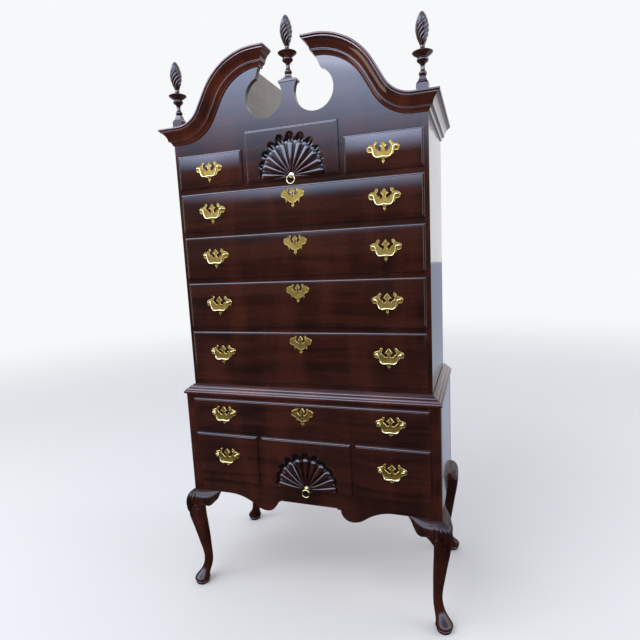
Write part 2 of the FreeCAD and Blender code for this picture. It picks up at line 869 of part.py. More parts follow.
def flameFinials():
    """A finial on each corner plinth and one on the pedestal.

    The stock is cut back to the profile from twelve directions, which leaves a near-round turning."""
    turned = newBody("FlameFinial")
    sides = 12
    profile = finialProfile()
    widest = measure(max(across for across, up in profile))
    top = profile[-1][1]
    pad(turned, "FinialStock", "XY_Plane", polygon(sides, widest / cosine(180 / sides)), top)
    waste = [(widest * 2, 0)] + profile + [(widest * 2, top)]
    cut = pocket(turned, "FinialCut", "XZ_Plane", waste, widest * 4, lift=widest * 2)
    turning = turned.newObject("PartDesign::PolarPattern", "FinialTurning")
    turning.Originals = [cut]
    turning.Axis = (originFeature(turned, "Z_Axis"), [""])
    turning.Angle = 360
    turning.Occurrences = sides
    turned.Tip = turning
    half = dim.plinthWidth / 2
    depth = upperFront + half
    foot = dim.corniceLevel + dim.roofRise
    place(turned, dim.plinthAt, depth, dim.plinthTop)
    capTop = dim.pedestalTop + dim.capHeight
    pieces = [copyOf(turned, "MiddleFinial", 0, upperFront + dim.pedestalSet, capTop)]
    plinthLow = (dim.plinthAt - half, upperFront, foot)
    plinthHigh = (dim.plinthAt + half, upperFront + dim.plinthWidth, dim.plinthTop)
    plinth = board("RightPlinth", plinthLow, plinthHigh)
    for piece in (turned, plinth):
        pieces.append(piece)
        pieces.append(mirrored(piece, piece.Name + "Left", Vector(1, 0, 0)))
    nodes.append(group("flame_finials", pieces))


# ---------------------------------------------------------------- brass

def plateEdge():
    """Right half of the bat-wing backplate: drop, dished body, scrolled ear, horn and crest."""
    return [
        (0, -52),
        (6.5, -39.5),
        (3, -35),
        (22, -26),
        (36, -12),
        (52, -1),
        (42, 10),
        (30, 13.5),
        (24.5, 23.5),
        (16, 12),
        (22, -2),
        (10, -9),
        (4.5, -3),
        (13, 6.5),
        (0, 22),
    ]


def backPlate():
    plate = newBody("BackPlate")
    half = pad(plate, "PlateHalf", "XZ_Plane", plateEdge(), dim.plateThickness)
    wholeOf(plate, "PlateWhole", half)
    return plate


def escutcheon():
    """The keyhole plate: the backplate's shape made smaller, with a keyhole through it."""
    plate = newBody("Escutcheon")
    half = [
        (0, -33),
        (5.5, -24),
        (3, -21),
        (16, -15),
        (28, -4),
        (38, 4),
        (23, 12),
        (17, 24),
        (12, 13),
        (9, 10),
        (9, 17),
        (0, 28),
    ]
    wholeOf(plate, "EscutcheonWhole", pad(plate, "EscutcheonHalf", "XZ_Plane", half, dim.plateThickness))
    keyhole = [(-1.2, -10), (1.2, -10), (2.2, 0), (1.2, 3), (-1.2, 3), (-2.2, 0)]
    pocket(plate, "Keyhole", "XZ_Plane", keyhole, 10, lift=5)
    return plate


def pivotPost():
    """A square post whose head carries one end of the bail in a cross hole."""
    post = newBody("PivotPost")
    half = dim.postRadius
    reach = dim.postReach - dim.plateThickness
    shank = rectangle((-half, -half), (half, half))
    pad(post, "PostShank", "XZ_Plane", shank, reach, lift=dim.plateThickness)
    wide = dim.wireRadius + dim.pinClearance
    hole = rectangle((-dim.pivotReach - wide, -wide), (-dim.pivotReach + wide, wide))
    pocket(post, "PinHole", "YZ_Plane", hole, half * 2 + 4, lift=half + 2)
    return post


def bail():
    """The drop handle: a wire bent down from its two posts, with a slight rise in the middle."""
    body = newBody("Bail")
    half = [(0, -29), (18, -31), (27, -24), (32, -7), (35.5, 0), (dim.boring / 2 + 1, 0)]
    path = [(-measure(x), z) for x, z in reversed(half[1:])] + half
    spine = trace(sketchOn(body, "XZ_Plane", "BailPath"), path, closed=False)
    section = sketchOn(body, "YZ_Plane", "BailSection", path[0][0])
    trace(section, polygon(6, dim.wireRadius))
    pipe = body.newObject("PartDesign::AdditivePipe", "BailSweep")
    pipe.Profile = section
    pipe.Spine = spine
    pipe.Transition = "Right corner"
    return body


def pullRing():
    """The small ring of a shell drawer, which hangs in an eye."""
    ring = newBody("PullRing")
    sides = 16
    path = polygon(sides, dim.ringRadius / cosine(180 / sides), (0, -dim.ringRadius))
    spine = trace(sketchOn(ring, "XZ_Plane", "RingPath"), path)
    section = trace(sketchOn(ring, "YZ_Plane", "RingSection"), polygon(6, dim.ringWire))
    pipe = ring.newObject("PartDesign::AdditivePipe", "RingSweep")
    pipe.Profile = section
    pipe.Spine = spine
    pipe.Transition = "Right corner"
    return ring


# ---------------------------------------------------------------- drawers

def drawerFront(drawer):
    """A lipped front: rounded lip, raised field, and the block that fills the opening."""
    name = drawer["name"]
    body = newBody(f"{name}_front")
    half = drawer["width"] / 2
    height = drawer["height"]
    low, high = drawer["block"]
    outline = rectangle((-half, 0), (half, height))
    lip = pad(body, f"{name}Lip", "XZ_Plane", outline, dim.lipThickness, lift=dim.seatGap)
    doc.recompute()
    face = -(dim.lipThickness + dim.seatGap).value
    edges = []
    for number, edge in enumerate(lip.Shape.Edges, start=1):
        if all(abs(vertex.Y - face) < 0.01 for vertex in edge.Vertexes):
            edges.append(f"Edge{number}")
    rounding = body.newObject("PartDesign::Fillet", f"{name}Thumbnail")
    rounding.Base = (lip, edges)
    bind(rounding, "Radius", dim.lipRound)
    inset = dim.fieldInset
    field = rectangle((inset - half, inset), (half - inset, height - inset))
    pad(body, f"{name}Field", "XZ_Plane", field, dim.lipThickness + dim.fieldRise, lift=dim.seatGap)
    foot = dim.lipOverlap + dim.seatGap
    top = height - dim.lipOverlap - dim.fitGap
    wide = rectangle((low, foot), (high, top))
    reach = dim.seatGap + dim.blindDepth
    pad(body, f"{name}Rabbet", "XZ_Plane", wide, reach, lift=dim.seatGap, backwards=True)
    narrow = rectangle((low + dim.sideThickness, foot), (high - dim.sideThickness, top))
    pad(body, f"{name}Block", "XZ_Plane", narrow, dim.frontBlock, backwards=True)
    if drawer["shell"]:
        carveShell(body, name, drawer["shell"])
    return body


rayCount = 11


def shellOutline():
    """A fan about the sketch's own origin, with a round hub left standing.

    Each ray ends in a lobe, and the lobes grow towards the top of the fan."""
    edge = dim.rayStep * rayCount / 2
    hub = dim.hubRadius
    outline = [(0, hub, hub), (-hub * sine(edge), hub * cosine(edge))]
    for number in range(4 * rayCount + 1):
        angle = dim.rayStep * number / 4 - edge
        lobe = (0, 8, 11, 8)[number % 4] * (1 + cosine(angle).value)
        radius = dim.shellRadius + lobe
        outline.append((radius * sine(angle), radius * cosine(angle)))
    outline.append((hub * sine(edge), hub * cosine(edge), hub))
    return outline


def carveShell(body, name, level):
    """The carved fan: a shallow hollow, then a groove between each two rays.

    A groove is a straight V-cut that slopes down away from the hub, so it widens as it deepens."""
    face = dim.lipThickness + dim.fieldRise + dim.seatGap
    outline = trace(sketchOn(body, "XZ_Plane", f"{name}HollowOutline", face), shellOutline())
    bind(outline, ".AttachmentOffset.Base.y", level)
    extrude(body, "PartDesign::Pocket", f"{name}Hollow", outline, dim.hollowStep)
    angle = dim.rayStep * (rayCount - 2) / 2
    away = dim.shellRadius
    depth = dim.hollow - dim.hollowStep
    slope = math.degrees(math.atan2(depth.value, away.value))
    section = sketchOn(body, "XY_Plane", f"{name}GrooveSection")
    turn = Rotation(Vector(0, 1, 0), angle.value)
    section.AttachmentOffset = Placement(Vector(), turn.multiply(Rotation(Vector(1, 0, 0), -slope)))
    bind(section, ".AttachmentOffset.Base.x", away * sine(angle))
    bind(section, ".AttachmentOffset.Base.y", dim.hollow - face)
    bind(section, ".AttachmentOffset.Base.z", level + away * cosine(angle))
    half = away * sine(dim.rayStep / 2) * dim.grooveShare
    trace(section, [(0, 0), (half, -depth), (-half, -depth)])
    groove = extrude(body, "PartDesign::Pocket", f"{name}Groove", section, away - dim.hubRadius * 1.5)
    doc.recompute()
    fan = body.newObject("PartDesign::PolarPattern", f"{name}Shell")
    fan.Originals = [groove]
    fan.Axis = (outline, ["N_Axis"])
    fan.Mode = "Spacing"
    bind(fan, "Offset", dim.rayStep)
    fan.Occurrences = rayCount - 1
    body.Tip = fan


def drawerBox(drawer):
    """Two sides, a back and a bottom behind the front."""
    name = drawer["name"]
    low, high = drawer["block"]
    foot = dim.lipOverlap + dim.seatGap
    top = drawer["height"] - dim.lipOverlap - dim.fitGap
    side = dim.sideThickness
    reach = dim.drawerReach
    blind = dim.blindDepth
    inLow = low + side
    inHigh = high - side
    floor = foot + dim.bottomLift
    pieces = [
        board(f"{name}LeftSide", (low, blind, foot), (inLow, reach, top)),
        board(f"{name}RightSide", (inHigh, blind, foot), (high, reach, top)),
        board(f"{name}Back", (inLow, reach - side, floor + dim.bottomThickness), (inHigh, reach, top - 4)),
        board(f"{name}Bottom", (inLow, dim.frontBlock, floor), (inHigh, reach, floor + dim.bottomThickness)),
    ]
    return group(f"{name}_box", pieces)


def drawerBrass(drawer, masters):
    """Backplates and posts for each pull, with an escutcheon where the drawer locks."""
    name = drawer["name"]
    face = -(dim.lipThickness + dim.fieldRise + dim.seatGap)
    pieces = []
    for side, x in drawer["pulls"]:
        z = drawer["pivot"]
        if drawer["shell"]:
            rosette = copyOf(masters["rosette"], f"{name}Rosette", x, face, z)
            pieces.append(rosette)
            continue
        pieces.append(copyOf(masters["plate"], f"{name}{side}Plate", x, face, z))
        for end in (-1, 1):
            spot = x + end * dim.boring / 2
            pieces.append(copyOf(masters["post"], f"{name}{side}Post", spot, face, z))
    if drawer["lock"]:
        pieces.append(copyOf(masters["escutcheon"], f"{name}Escutcheon", 0, face, drawer["lock"]))
    return group(f"{name}_brass", pieces)


def drawerPulls(drawer, masters):
    """One swinging bail, or ring, in a node of its own for each pull."""
    face = -(dim.lipThickness + dim.fieldRise + dim.seatGap)
    found = []
    for side, x in drawer["pulls"]:
        kind = "ring" if drawer["shell"] else "bail"
        label = "_".join(word for word in (drawer["name"], side, kind) if word)
        link = copyOf(masters[kind], f"{label}_copy", x, face, drawer["pivot"])
        found.append(group(label, [link]))
    return found


def eyeRosette():
    """A round rosette with an eye for the ring of a shell drawer."""
    body = newBody("EyeRosette")
    pad(body, "RosettePlate", "XZ_Plane", polygon(12, measure(8)), 2)
    pad(body, "EyeShank", "XZ_Plane", rectangle((-2, -4), (2, 4)), dim.postReach)
    wide = dim.ringWire + 0.2
    hole = polygon(8, wide / cosine(22.5), (-dim.pivotReach, 0))
    pocket(body, "EyeBore", "YZ_Plane", hole, 12, lift=6)
    return body


def rowOf(name, low, high, level, height, plane, laps, pulls, rise, lockRise=None, shell=None):
    """Everything that one drawer is made from, in the drawer's own frame."""
    middle = (low + high) / 2
    return {
        "name": name,
        "width": high - low,
        "height": height,
        "place": (middle, plane, level),
        "block": (low + laps[0] + dim.fitGap - middle, high - laps[1] - dim.fitGap - middle),
        "pulls": [(side, measure(x) - middle) for side, x in pulls],
        "pivot": height / 2 + rise,
        "lock": height / 2 + lockRise if lockRise else None,
        "shell": shell,
    }


def drawers():
    edge = halfUpper - dim.stileReveal
    side = edge - upperInner
    lap = dim.lipOverlap
    both = [("left", -dim.handleAt), ("right", dim.handleAt)]
    rows = []
    rises = {"fifth": (0, 22, 31), "fourth": (1, 12, 30), "third": (2, 10, 30), "second": (3, 9, 28)}
    for word, (number, rise, lock) in rises.items():
        spots = (f"upper_{word}", -edge, edge, rowLevels[number], rowHeights[number], upperFront)
        rows.append(rowOf(*spots, (side, side), both, rise, lock))
    top = rowLevels[-1]
    small = dim.smallInnerEdge
    shell = dim.shellHalfWidth
    at = dim.handleAt
    row = (top, dim.firstRow, upperFront)
    rows.append(rowOf("top_left", -edge, -small, *row, (side, lap), [("", -at)], 9))
    rows.append(rowOf("top_right", small, edge, *row, (lap, side), [("", at)], 9))
    level = dim.shellLevel
    height = dim.topShellHeight
    spots = ("top_shell", -shell, shell, top, height, upperFront, (lap, lap), [("", 0)])
    rows.append(rowOf(*spots, level - height / 2, shell=level))
    edge = halfCase - dim.lowerStileReveal
    side = edge - postInner
    at = dim.lowerHandleAt
    both = [("left", -at), ("right", at)]
    spots = ("lower_long", -edge, edge, lowerLongLevel, dim.lowerLong, front, (side, side))
    rows.append(rowOf(*spots, both, 14, 23))
    small = dim.lowerInnerEdge
    shell = dim.lowerShellHalfWidth
    low = dim.lowerRowLevel
    row = (low, dim.lowerRow, front)
    rows.append(rowOf("lower_left", -edge, -small, *row, (side, lap), [("", -at)], 18))
    rows.append(rowOf("lower_right", small, edge, *row, (lap, side), [("", at)], 18))
    level = dim.lowerShellLevel
    height = dim.lowerRow
    spots = ("lower_shell", -shell, shell, low, height, front, (lap, lap), [("", 0)])
    rows.append(rowOf(*spots, level - height / 2, shell=level))
    masters = {
        "plate": backPlate(),
        "escutcheon": escutcheon(),
        "post": pivotPost(),
        "rosette": eyeRosette(),
        "bail": lowered(bail(), "BailMaster"),
        "ring": lowered(pullRing(), "RingMaster"),
    }
    for drawer in rows:
        made = [drawerFront(drawer), drawerBox(drawer), drawerBrass(drawer, masters)]
        for piece in made + drawerPulls(drawer, masters):
            place(piece, *drawer["place"])
            nodes.append(piece)


def lowered(piece, name):
    """Carries a pull forward to its pivots."""
    return group(name, [copyOf(piece, name + "Copy", 0, -dim.pivotReach, 0)])


legsAndBlocks()
scallopedApron()
lowerCarcase()
waistMoulding()
swanNeckCornice()
upperCase()
scrollBoard()
bonnet()
flameFinials()
drawers()
doc.recompute()

# ---------------------------------------------------------------- checks and export

for thing in doc.Objects:
    if "Invalid" in thing.State or "Error" in thing.State:
        raise RuntimeError(f"{thing.Name} failed: {thing.State}")
for node in nodes:
    if node.Shape.isNull() or not node.Shape.isValid():
        raise RuntimeError(f"{node.Label} has no valid shape")

os.makedirs("parts", exist_ok=True)
for node in nodes:
    node.Shape.exportStep(f"parts/{node.Label}.step")
print(f"{len(nodes)} nodes written")
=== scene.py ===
import json
import math
import bmesh
import bpy
import numpy as np
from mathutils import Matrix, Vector
from mathutils.geometry import tessellate_polygon

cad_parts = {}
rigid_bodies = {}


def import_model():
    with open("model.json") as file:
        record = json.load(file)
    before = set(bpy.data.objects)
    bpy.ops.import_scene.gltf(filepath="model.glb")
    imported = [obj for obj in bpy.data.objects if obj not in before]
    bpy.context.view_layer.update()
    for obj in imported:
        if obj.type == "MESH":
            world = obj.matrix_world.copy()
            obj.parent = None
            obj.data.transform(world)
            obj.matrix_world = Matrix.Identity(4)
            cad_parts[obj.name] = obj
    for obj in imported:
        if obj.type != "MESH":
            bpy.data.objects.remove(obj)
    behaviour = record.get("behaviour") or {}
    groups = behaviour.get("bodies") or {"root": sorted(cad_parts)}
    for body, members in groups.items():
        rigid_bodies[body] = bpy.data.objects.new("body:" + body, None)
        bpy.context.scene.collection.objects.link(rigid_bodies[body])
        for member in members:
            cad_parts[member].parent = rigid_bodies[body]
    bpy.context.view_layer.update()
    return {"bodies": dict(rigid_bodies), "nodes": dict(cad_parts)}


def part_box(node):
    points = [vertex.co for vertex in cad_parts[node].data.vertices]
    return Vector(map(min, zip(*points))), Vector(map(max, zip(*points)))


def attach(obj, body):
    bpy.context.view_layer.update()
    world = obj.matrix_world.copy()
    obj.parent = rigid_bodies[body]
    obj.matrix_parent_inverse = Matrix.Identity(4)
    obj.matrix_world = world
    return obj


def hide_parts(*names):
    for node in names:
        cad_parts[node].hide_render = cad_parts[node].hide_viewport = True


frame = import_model()
print("frame loaded")


# camera, floor and light

view = {
    "place": (0.60654, -1.76638, 1.32382),
    "turn": (81.841, 2.783, 18.573),
    "focal": 26.67,
    "sensor": 36,
}
stage = {
    "reach": 40,
    "floor": (0.8, 0.805, 0.82),
    "backdrop": (0.93, 0.94, 0.96),
    "fill": (0.68, 0.69, 0.74),
    # seen in polished faces only: the floor before and behind the piece, and the sky above the horizon
    "floorBefore": (0.03, 0.03, 0.032),
    "floorBehind": (0.5, 0.55, 0.64),
    "horizon": (0.12, 0.08, 0.065),
    "sky": (4.4, 5.6, 8.2),
    "zenith": (0.75, 1.0, 1.7),
    # where each change starts and ends: on the floor in metres, in the sky as a part of the direction
    "floorChange": (0.2, 0.8),
    "fade": (1.2, 8.0),
    "wallChange": (-0.1, 0.15),
    "skyChange": (0.15, 0.4),
    "zenithChange": (0.42, 0.72),
}
lamps = {
    # place, point it looks at, size, watts, colour
    "sky": ((-1.6, -2.6, 4.2), (0, 0, 1.2), (3.2, 2.4), 90, (0.93, 0.96, 1.0)),
    "door": ((3.6, 0.4, 1.9), (0.2, 0, 1.2), (2.4, 3.2), 46, (1.0, 0.99, 0.97)),
    "yard": ((-3.2, -1.6, 1.5), (0, 0, 1.0), (1.6, 2.6), 26, (1.0, 0.96, 0.9)),
}


def addObject(name, data):
    made = bpy.data.objects.new(name, data)
    bpy.context.scene.collection.objects.link(made)
    return made


def makeCamera():
    lens = bpy.data.cameras.new("camera")
    lens.lens = view["focal"]
    lens.sensor_width = view["sensor"]
    holder = addObject("camera", lens)
    holder.location = view["place"]
    holder.rotation_euler = [math.radians(angle) for angle in view["turn"]]
    bpy.context.scene.camera = holder


def makeLamps():
    for name, (place, aim, size, watts, colour) in lamps.items():
        lamp = bpy.data.lights.new(name, "AREA")
        lamp.shape = "RECTANGLE"
        lamp.size, lamp.size_y = size
        lamp.energy = watts
        lamp.color = colour
        holder = addObject(name, lamp)
        holder.location = place
        holder.rotation_euler = (Vector(aim) - Vector(place)).to_track_quat("-Z", "Y").to_euler()


# shader arithmetic

class Wire:
    # A socket of a material's tree. Arithmetic on it adds Math nodes.
    def __init__(self, tree, socket=None):
        self.tree = tree
        self.socket = socket

    def node(self, kind, settings=None, output=None, **links):
        # a new node, fed by the names of its inputs; the wire leads from its first output or the one named
        made = self.tree.nodes.new(kind)
        for key, value in (settings or {}).items():
            setattr(made, key, value)
        feed(made, **links)
        return Wire(self.tree, next(s for s in made.outputs if s.enabled and output in (None, s.name)))

    def join(self, operation, first, second=None):
        made = self.tree.nodes.new("ShaderNodeMath")
        made.operation = operation
        for number, value in enumerate((first, second)):
            if isinstance(value, Wire):
                self.tree.links.new(value.socket, made.inputs[number])
            elif value is not None:
                made.inputs[number].default_value = value
        return Wire(self.tree, made.outputs[0])

    def __add__(self, other):
        return self.join("ADD", self, other)

    def __radd__(self, other):
        return self.join("ADD", other, self)

    def __sub__(self, other):
        return self.join("SUBTRACT", self, other)

    def __rsub__(self, other):
        return self.join("SUBTRACT", other, self)

    def __mul__(self, other):
        return self.join("MULTIPLY", self, other)

    def __rmul__(self, other):
        return self.join("MULTIPLY", other, self)

    def blend(self, first, second):
        # from the first colour to the second as this value goes from 0 to 1
        settings = {"data_type": "RGBA", "clamp_factor": True}
        return self.node("ShaderNodeMix", settings, Factor=self, A=first, B=second)

    def window(self, low, high):
        # 0 below the low mark, 1 above the high one, smooth between
        settings = {"interpolation_type": "SMOOTHSTEP"}
        return self.node("ShaderNodeMapRange", settings, Value=self, From_Min=low, From_Max=high)

    def noise(self, scale, detail, distortion=0):
        return self.node(
            "ShaderNodeTexNoise", output="Fac", Vector=self, Scale=scale, Detail=detail, Distortion=distortion
        )

    def split(self):
        # the three parts of a vector
        parts = self.node("ShaderNodeSeparateXYZ", Vector=self).socket.node.outputs
        return [Wire(self.tree, part) for part in parts]


def feed(node, **links):
    # a number or colour goes on the socket itself, a varying value is linked
    for key, value in links.items():
        into = next(s for s in node.inputs if s.enabled and s.name == key.replace("_", " "))
        if isinstance(value, Wire):
            value.tree.links.new(value.socket, into)
        elif isinstance(value, tuple):
            into.default_value = (*value, 1)
        else:
            into.default_value = value


def newMaterial(name):
    # an empty principled material, its shader and a wire to start from
    made = bpy.data.materials.new(name)
    made.use_nodes = True
    return made, made.node_tree.nodes["Principled BSDF"], Wire(made.node_tree)


mahogany = {
    "dark": (0.0122, 0.0036, 0.0027),
    "middle": (0.031, 0.008, 0.0053),
    "red": (0.084, 0.0192, 0.01),
    "shadow": (0.0035, 0.0014, 0.0011),
    "stretch": 0.055,
    "gloss": 0.34,
    "coat": 1.0,
    "coatRough": 0.08,
}
mouldingWood = dict(
    mahogany, dark=(0.02, 0.0048, 0.0032), middle=(0.066, 0.0152, 0.0084), red=(0.175, 0.038, 0.016)
)
legWood = dict(mahogany, coat=0.42, coatRough=0.17)
roofWood = dict(
    mahogany, dark=(0.11, 0.074, 0.056), middle=(0.19, 0.138, 0.11), red=(0.23, 0.162, 0.125), coatRough=0.16
)
softwood = {
    "dark": (0.25, 0.14, 0.06),
    "middle": (0.42, 0.27, 0.13),
    "red": (0.5, 0.33, 0.17),
    "shadow": (0.1, 0.05, 0.02),
    "stretch": 0.05,
    "gloss": 0.62,
    "coat": 0.0,
    "coatRough": 0.3,
}
woodGrain = {
    # scale, detail and distortion of each noise, and the window that it shows through
    "bands": ((26, 3.0, 0.6), (0.33, 0.68)),
    "streaks": ((95, 2.0), (0.36, 0.66)),
    "fibres": ((620, 2.0), (0.62, 0.4)),
    "pores": ((1500, 1.0), (0.6, 0.74)),
    "figure": ((9, 2.0), (0.38, 0.7)),
    "wander": (2.6, 1.0),
    "smear": (5.5, 3.0),
    # how far the grain wanders sideways; how the fibres stretch along it and the figure across it
    "bend": 0.055,
    "finer": 0.35,
    "wider": 0.22,
}


def woodMaterial(name, look, grain):
    # Stretched noise along the grain: wide bands, fine fibres and short pores, over slow cross figure.
    # The grain runs level, upright, or along a piece's own map.
    made, shader, start = newMaterial(name)
    if grain == "path":
        mapped = start.node("ShaderNodeUVMap")
        along, across, depth = mapped.split()
    else:
        mapped = start.node("ShaderNodeTexCoord", output="Object")
        x, y, z = mapped.split()
        along, across, depth = (x + y, z, y - x) if grain == "level" else (z, x, y)
    stretch = look["stretch"]
    depth = depth * (stretch if grain == "level" else 1)

    def spot(a, b):
        return start.node("ShaderNodeCombineXYZ", X=a, Y=b, Z=depth)

    def layer(vector, key):
        noise, marks = woodGrain[key]
        return vector.noise(*noise).window(*marks)

    wander = spot(along, across).noise(*woodGrain["wander"])
    bent = across + (wander - 0.5) * woodGrain["bend"]
    lengthwise = spot(along * stretch, bent)
    finer = spot(along * (stretch * woodGrain["finer"]), bent)
    bands, streaks, pores = layer(lengthwise, "bands"), layer(lengthwise, "streaks"), layer(finer, "pores")
    figure = layer(spot(along, across * woodGrain["wider"]), "figure")
    fibreNoise, fibreMarks = woodGrain["fibres"]
    fibres = finer.noise(*fibreNoise)
    recess = start.node("ShaderNodeAttribute", {"attribute_name": "recess"}, output="Fac")
    base = (bands * 0.62 + streaks * 0.38).blend(look["dark"], look["middle"])
    warm = (figure * 0.42 + bands * 0.18).blend(base, look["red"])
    lined = (fibres.window(*fibreMarks) * 0.26 + pores * 0.36).blend(warm, look["dark"])
    smear = mapped.noise(*woodGrain["smear"])
    height = fibres * 0.02 - pores * 0.03 + smear * 1.6
    feed(
        shader,
        Base_Color=(recess * 0.92).blend(lined, look["shadow"]),
        Roughness=look["gloss"] + (smear - 0.5) * 0.16 + recess * 0.12,
        Normal=start.node("ShaderNodeBump", Strength=0.2, Distance=0.0003, Height=height),
        Coat_Weight=look["coat"],
        Coat_Roughness=look["coatRough"],
        Coat_IOR=1.6,
        Specular_IOR_Level=0.03,
    )
    return made


metal = {
    "polished": (0.9, 0.81, 0.46),
    "bright": (0.8, 0.57, 0.165),
    "deep": (0.57, 0.345, 0.06),
    "tarnish": (0.19, 0.106, 0.015),
    "gloss": 0.22,
    # scale and detail of the slow clouding and of the punched ground
    "cloud": (60, 3.0),
    "grit": (900, 2.0),
}


def brassMaterial(name, chased):
    # Lacquered brass: bright on its rims, darker and stippled where a plate's field is chased.
    made, shader, start = newMaterial(name)
    mapped = start.node("ShaderNodeTexCoord", output="Object")
    cloud, grit = mapped.noise(*metal["cloud"]), mapped.noise(*metal["grit"])
    recess = start.node("ShaderNodeAttribute", {"attribute_name": "recess"}, output="Fac")
    clean, worn = (metal["bright"], metal["deep"]) if chased else (metal["polished"], metal["bright"])
    body = (cloud.window(0.35, 0.7) * 0.55).blend(clean, worn)
    strength, height = 0.5 if chased else 0.12, grit * (recess + 0.15)
    feed(
        shader,
        Base_Color=(recess * (0.55 + cloud * 0.45)).blend(body, metal["tarnish"]),
        Metallic=1.0,
        Roughness=metal["gloss"] + recess * 0.24 + (cloud - 0.5) * 0.12,
        Normal=start.node("ShaderNodeBump", Strength=strength, Distance=0.0004, Height=height),
    )
    return made


def plainMaterial(name, colour, roughness):
    # one colour under a faint clouding
    made, shader, start = newMaterial(name)
    cloud = start.node("ShaderNodeTexCoord", output="Object").noise(3.5, 4.0)
    soft = tuple(part * 0.93 for part in colour)
    feed(shader, Base_Color=cloud.blend(soft, colour), Roughness=roughness)
    return made


def floorMaterial():
    # Pale to the eye and lost in the backdrop far off. A polished face mirrors it darker before than behind.
    made, shader, start = newMaterial("studio floor")
    mirrored = start.node("ShaderNodeLightPath", output="Is Glossy Ray")
    direct = start.node("ShaderNodeLightPath", output="Is Camera Ray")
    place = start.node("ShaderNodeTexCoord", output="Object")
    ground = place.split()[1].window(*stage["floorChange"]).blend(stage["floorBefore"], stage["floorBehind"])
    distance = place.node("ShaderNodeVectorMath", {"operation": "LENGTH"}, output="Value", Vector=place)
    far = distance.window(*stage["fade"]) * direct
    near = far.blend(mirrored.blend(stage["floor"], ground), (0, 0, 0))
    glow = far.blend((0, 0, 0), stage["backdrop"])
    feed(shader, Base_Color=near, Emission_Color=glow, Emission_Strength=1.0)
    feed(shader, Roughness=0.75, Specular_IOR_Level=0.0)
    return made


def makeMaterials():
    return {
        "caseUpright": woodMaterial("case upright grain", mahogany, "upright"),
        "caseLevel": woodMaterial("case level grain", mahogany, "level"),
        "railLevel": woodMaterial("rail grain", mahogany, "level"),
        "front": woodMaterial("drawer front grain", mahogany, "level"),
        "moulding": woodMaterial("moulding grain", mouldingWood, "path"),
        "carved": woodMaterial("carved grain", mahogany, "upright"),
        "leg": woodMaterial("leg grain", legWood, "upright"),
        "lining": woodMaterial("lining grain", softwood, "level"),
        "bonnet": woodMaterial("bonnet grain", roofWood, "level"),
        "plate": brassMaterial("chased brass", True),
        "brass": brassMaterial("polished brass", False),
        "hole": plainMaterial("keyhole shadow", (0.004, 0.003, 0.003), 0.8),
        "floor": floorMaterial(),
    }


def makeFloor():
    reach = stage["reach"]
    outline = [(-reach, -reach, 0), (reach, -reach, 0), (reach, reach, 0), (-reach, reach, 0)]
    mesh = bpy.data.meshes.new("floor")
    mesh.from_pydata(outline, [], [(0, 1, 2, 3)])
    floor = addObject("floor", mesh)
    mesh.materials.append(finishes["floor"])


def makeWorld():
    # Plain to the eye and to rough faces. A polished face mirrors a pale wall behind and a sky before.
    world = bpy.data.worlds.new("studio")
    bpy.context.scene.world = world
    world.use_nodes = True
    start = Wire(world.node_tree)
    seen = start.node("ShaderNodeLightPath", output="Is Camera Ray")
    mirrored = start.node("ShaderNodeLightPath", output="Is Glossy Ray")
    behind, up = start.node("ShaderNodeTexCoord", output="Generated").split()[1:]
    low = up.window(*stage["skyChange"]).blend(stage["horizon"], stage["sky"])
    front = up.window(*stage["zenithChange"]).blend(low, stage["zenith"])
    room = behind.window(*stage["wallChange"]).blend(front, stage["backdrop"])
    colour = seen.blend(mirrored.blend(stage["fill"], room), stage["backdrop"])
    feed(world.node_tree.nodes["Background"], Color=colour)
    bpy.context.scene.view_settings.view_transform = "Standard"


makeCamera()
makeLamps()
finishes = makeMaterials()
makeFloor()
makeWorld()
print("camera, light and finishes ready")


# mesh building

def gridFaces(rows, columns, loopRows=False, loopColumns=False):
    # quads between neighbouring points of a grid that is numbered row by row
    r = np.arange(rows if loopRows else rows - 1)[:, None]
    c = np.arange(columns if loopColumns else columns - 1)[None, :]
    down, right = (r + 1) % rows, (c + 1) % columns
    quads = np.stack([r * columns + c, r * columns + right, down * columns + right, down * columns + c], -1)
    return quads.reshape(-1, 4)


def makePiece(name, points, faces, recess=None, along=None, sharp=32):
    # A closed surface with outward faces, smooth but for edges sharper than the given angle. The recess
    # marks the first points, and any others have none.
    mesh = bpy.data.meshes.new(name)
    mesh.from_pydata(np.asarray(points).reshape(-1, 3).tolist(), [], [list(face) for face in faces])
    if recess is not None:
        marks = np.zeros(len(mesh.vertices))
        marks[:recess.size] = recess.ravel()
        mesh.attributes.new("recess", "FLOAT", "POINT").data.foreach_set("value", marks)
    if along is not None:
        corner = np.empty(len(mesh.loops), np.int32)
        mesh.loops.foreach_get("vertex_index", corner)
        flat = np.asarray(along).reshape(-1, 2)[corner]
        mesh.uv_layers.new(name="UVMap").data.foreach_set("uv", flat.ravel())
    work = bmesh.new()
    work.from_mesh(mesh)
    bmesh.ops.recalc_face_normals(work, faces=work.faces)
    work.to_mesh(mesh)
    work.free()
    mesh.shade_smooth()
    mesh.set_sharp_from_angle(angle=math.radians(sharp))
    return addObject(name, mesh)


def settle(piece, body, slot, finish, *nodes):
    # a finished piece rides on its body and stands for its nodes; its slot is not used
    piece.data.materials.append(finishes[finish])
    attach(piece, body)
    if nodes:
        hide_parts(*nodes)


def gather(shells):
    # several closed surfaces as one list of points and faces
    points, faces, base = [], [], 0
    for shellPoints, shellFaces in shells:
        flat = np.asarray(shellPoints).reshape(-1, 3)
        points.append(flat)
        faces += [[int(corner) + base for corner in face] for face in shellFaces]
        base += len(flat)
    return np.concatenate(points), faces


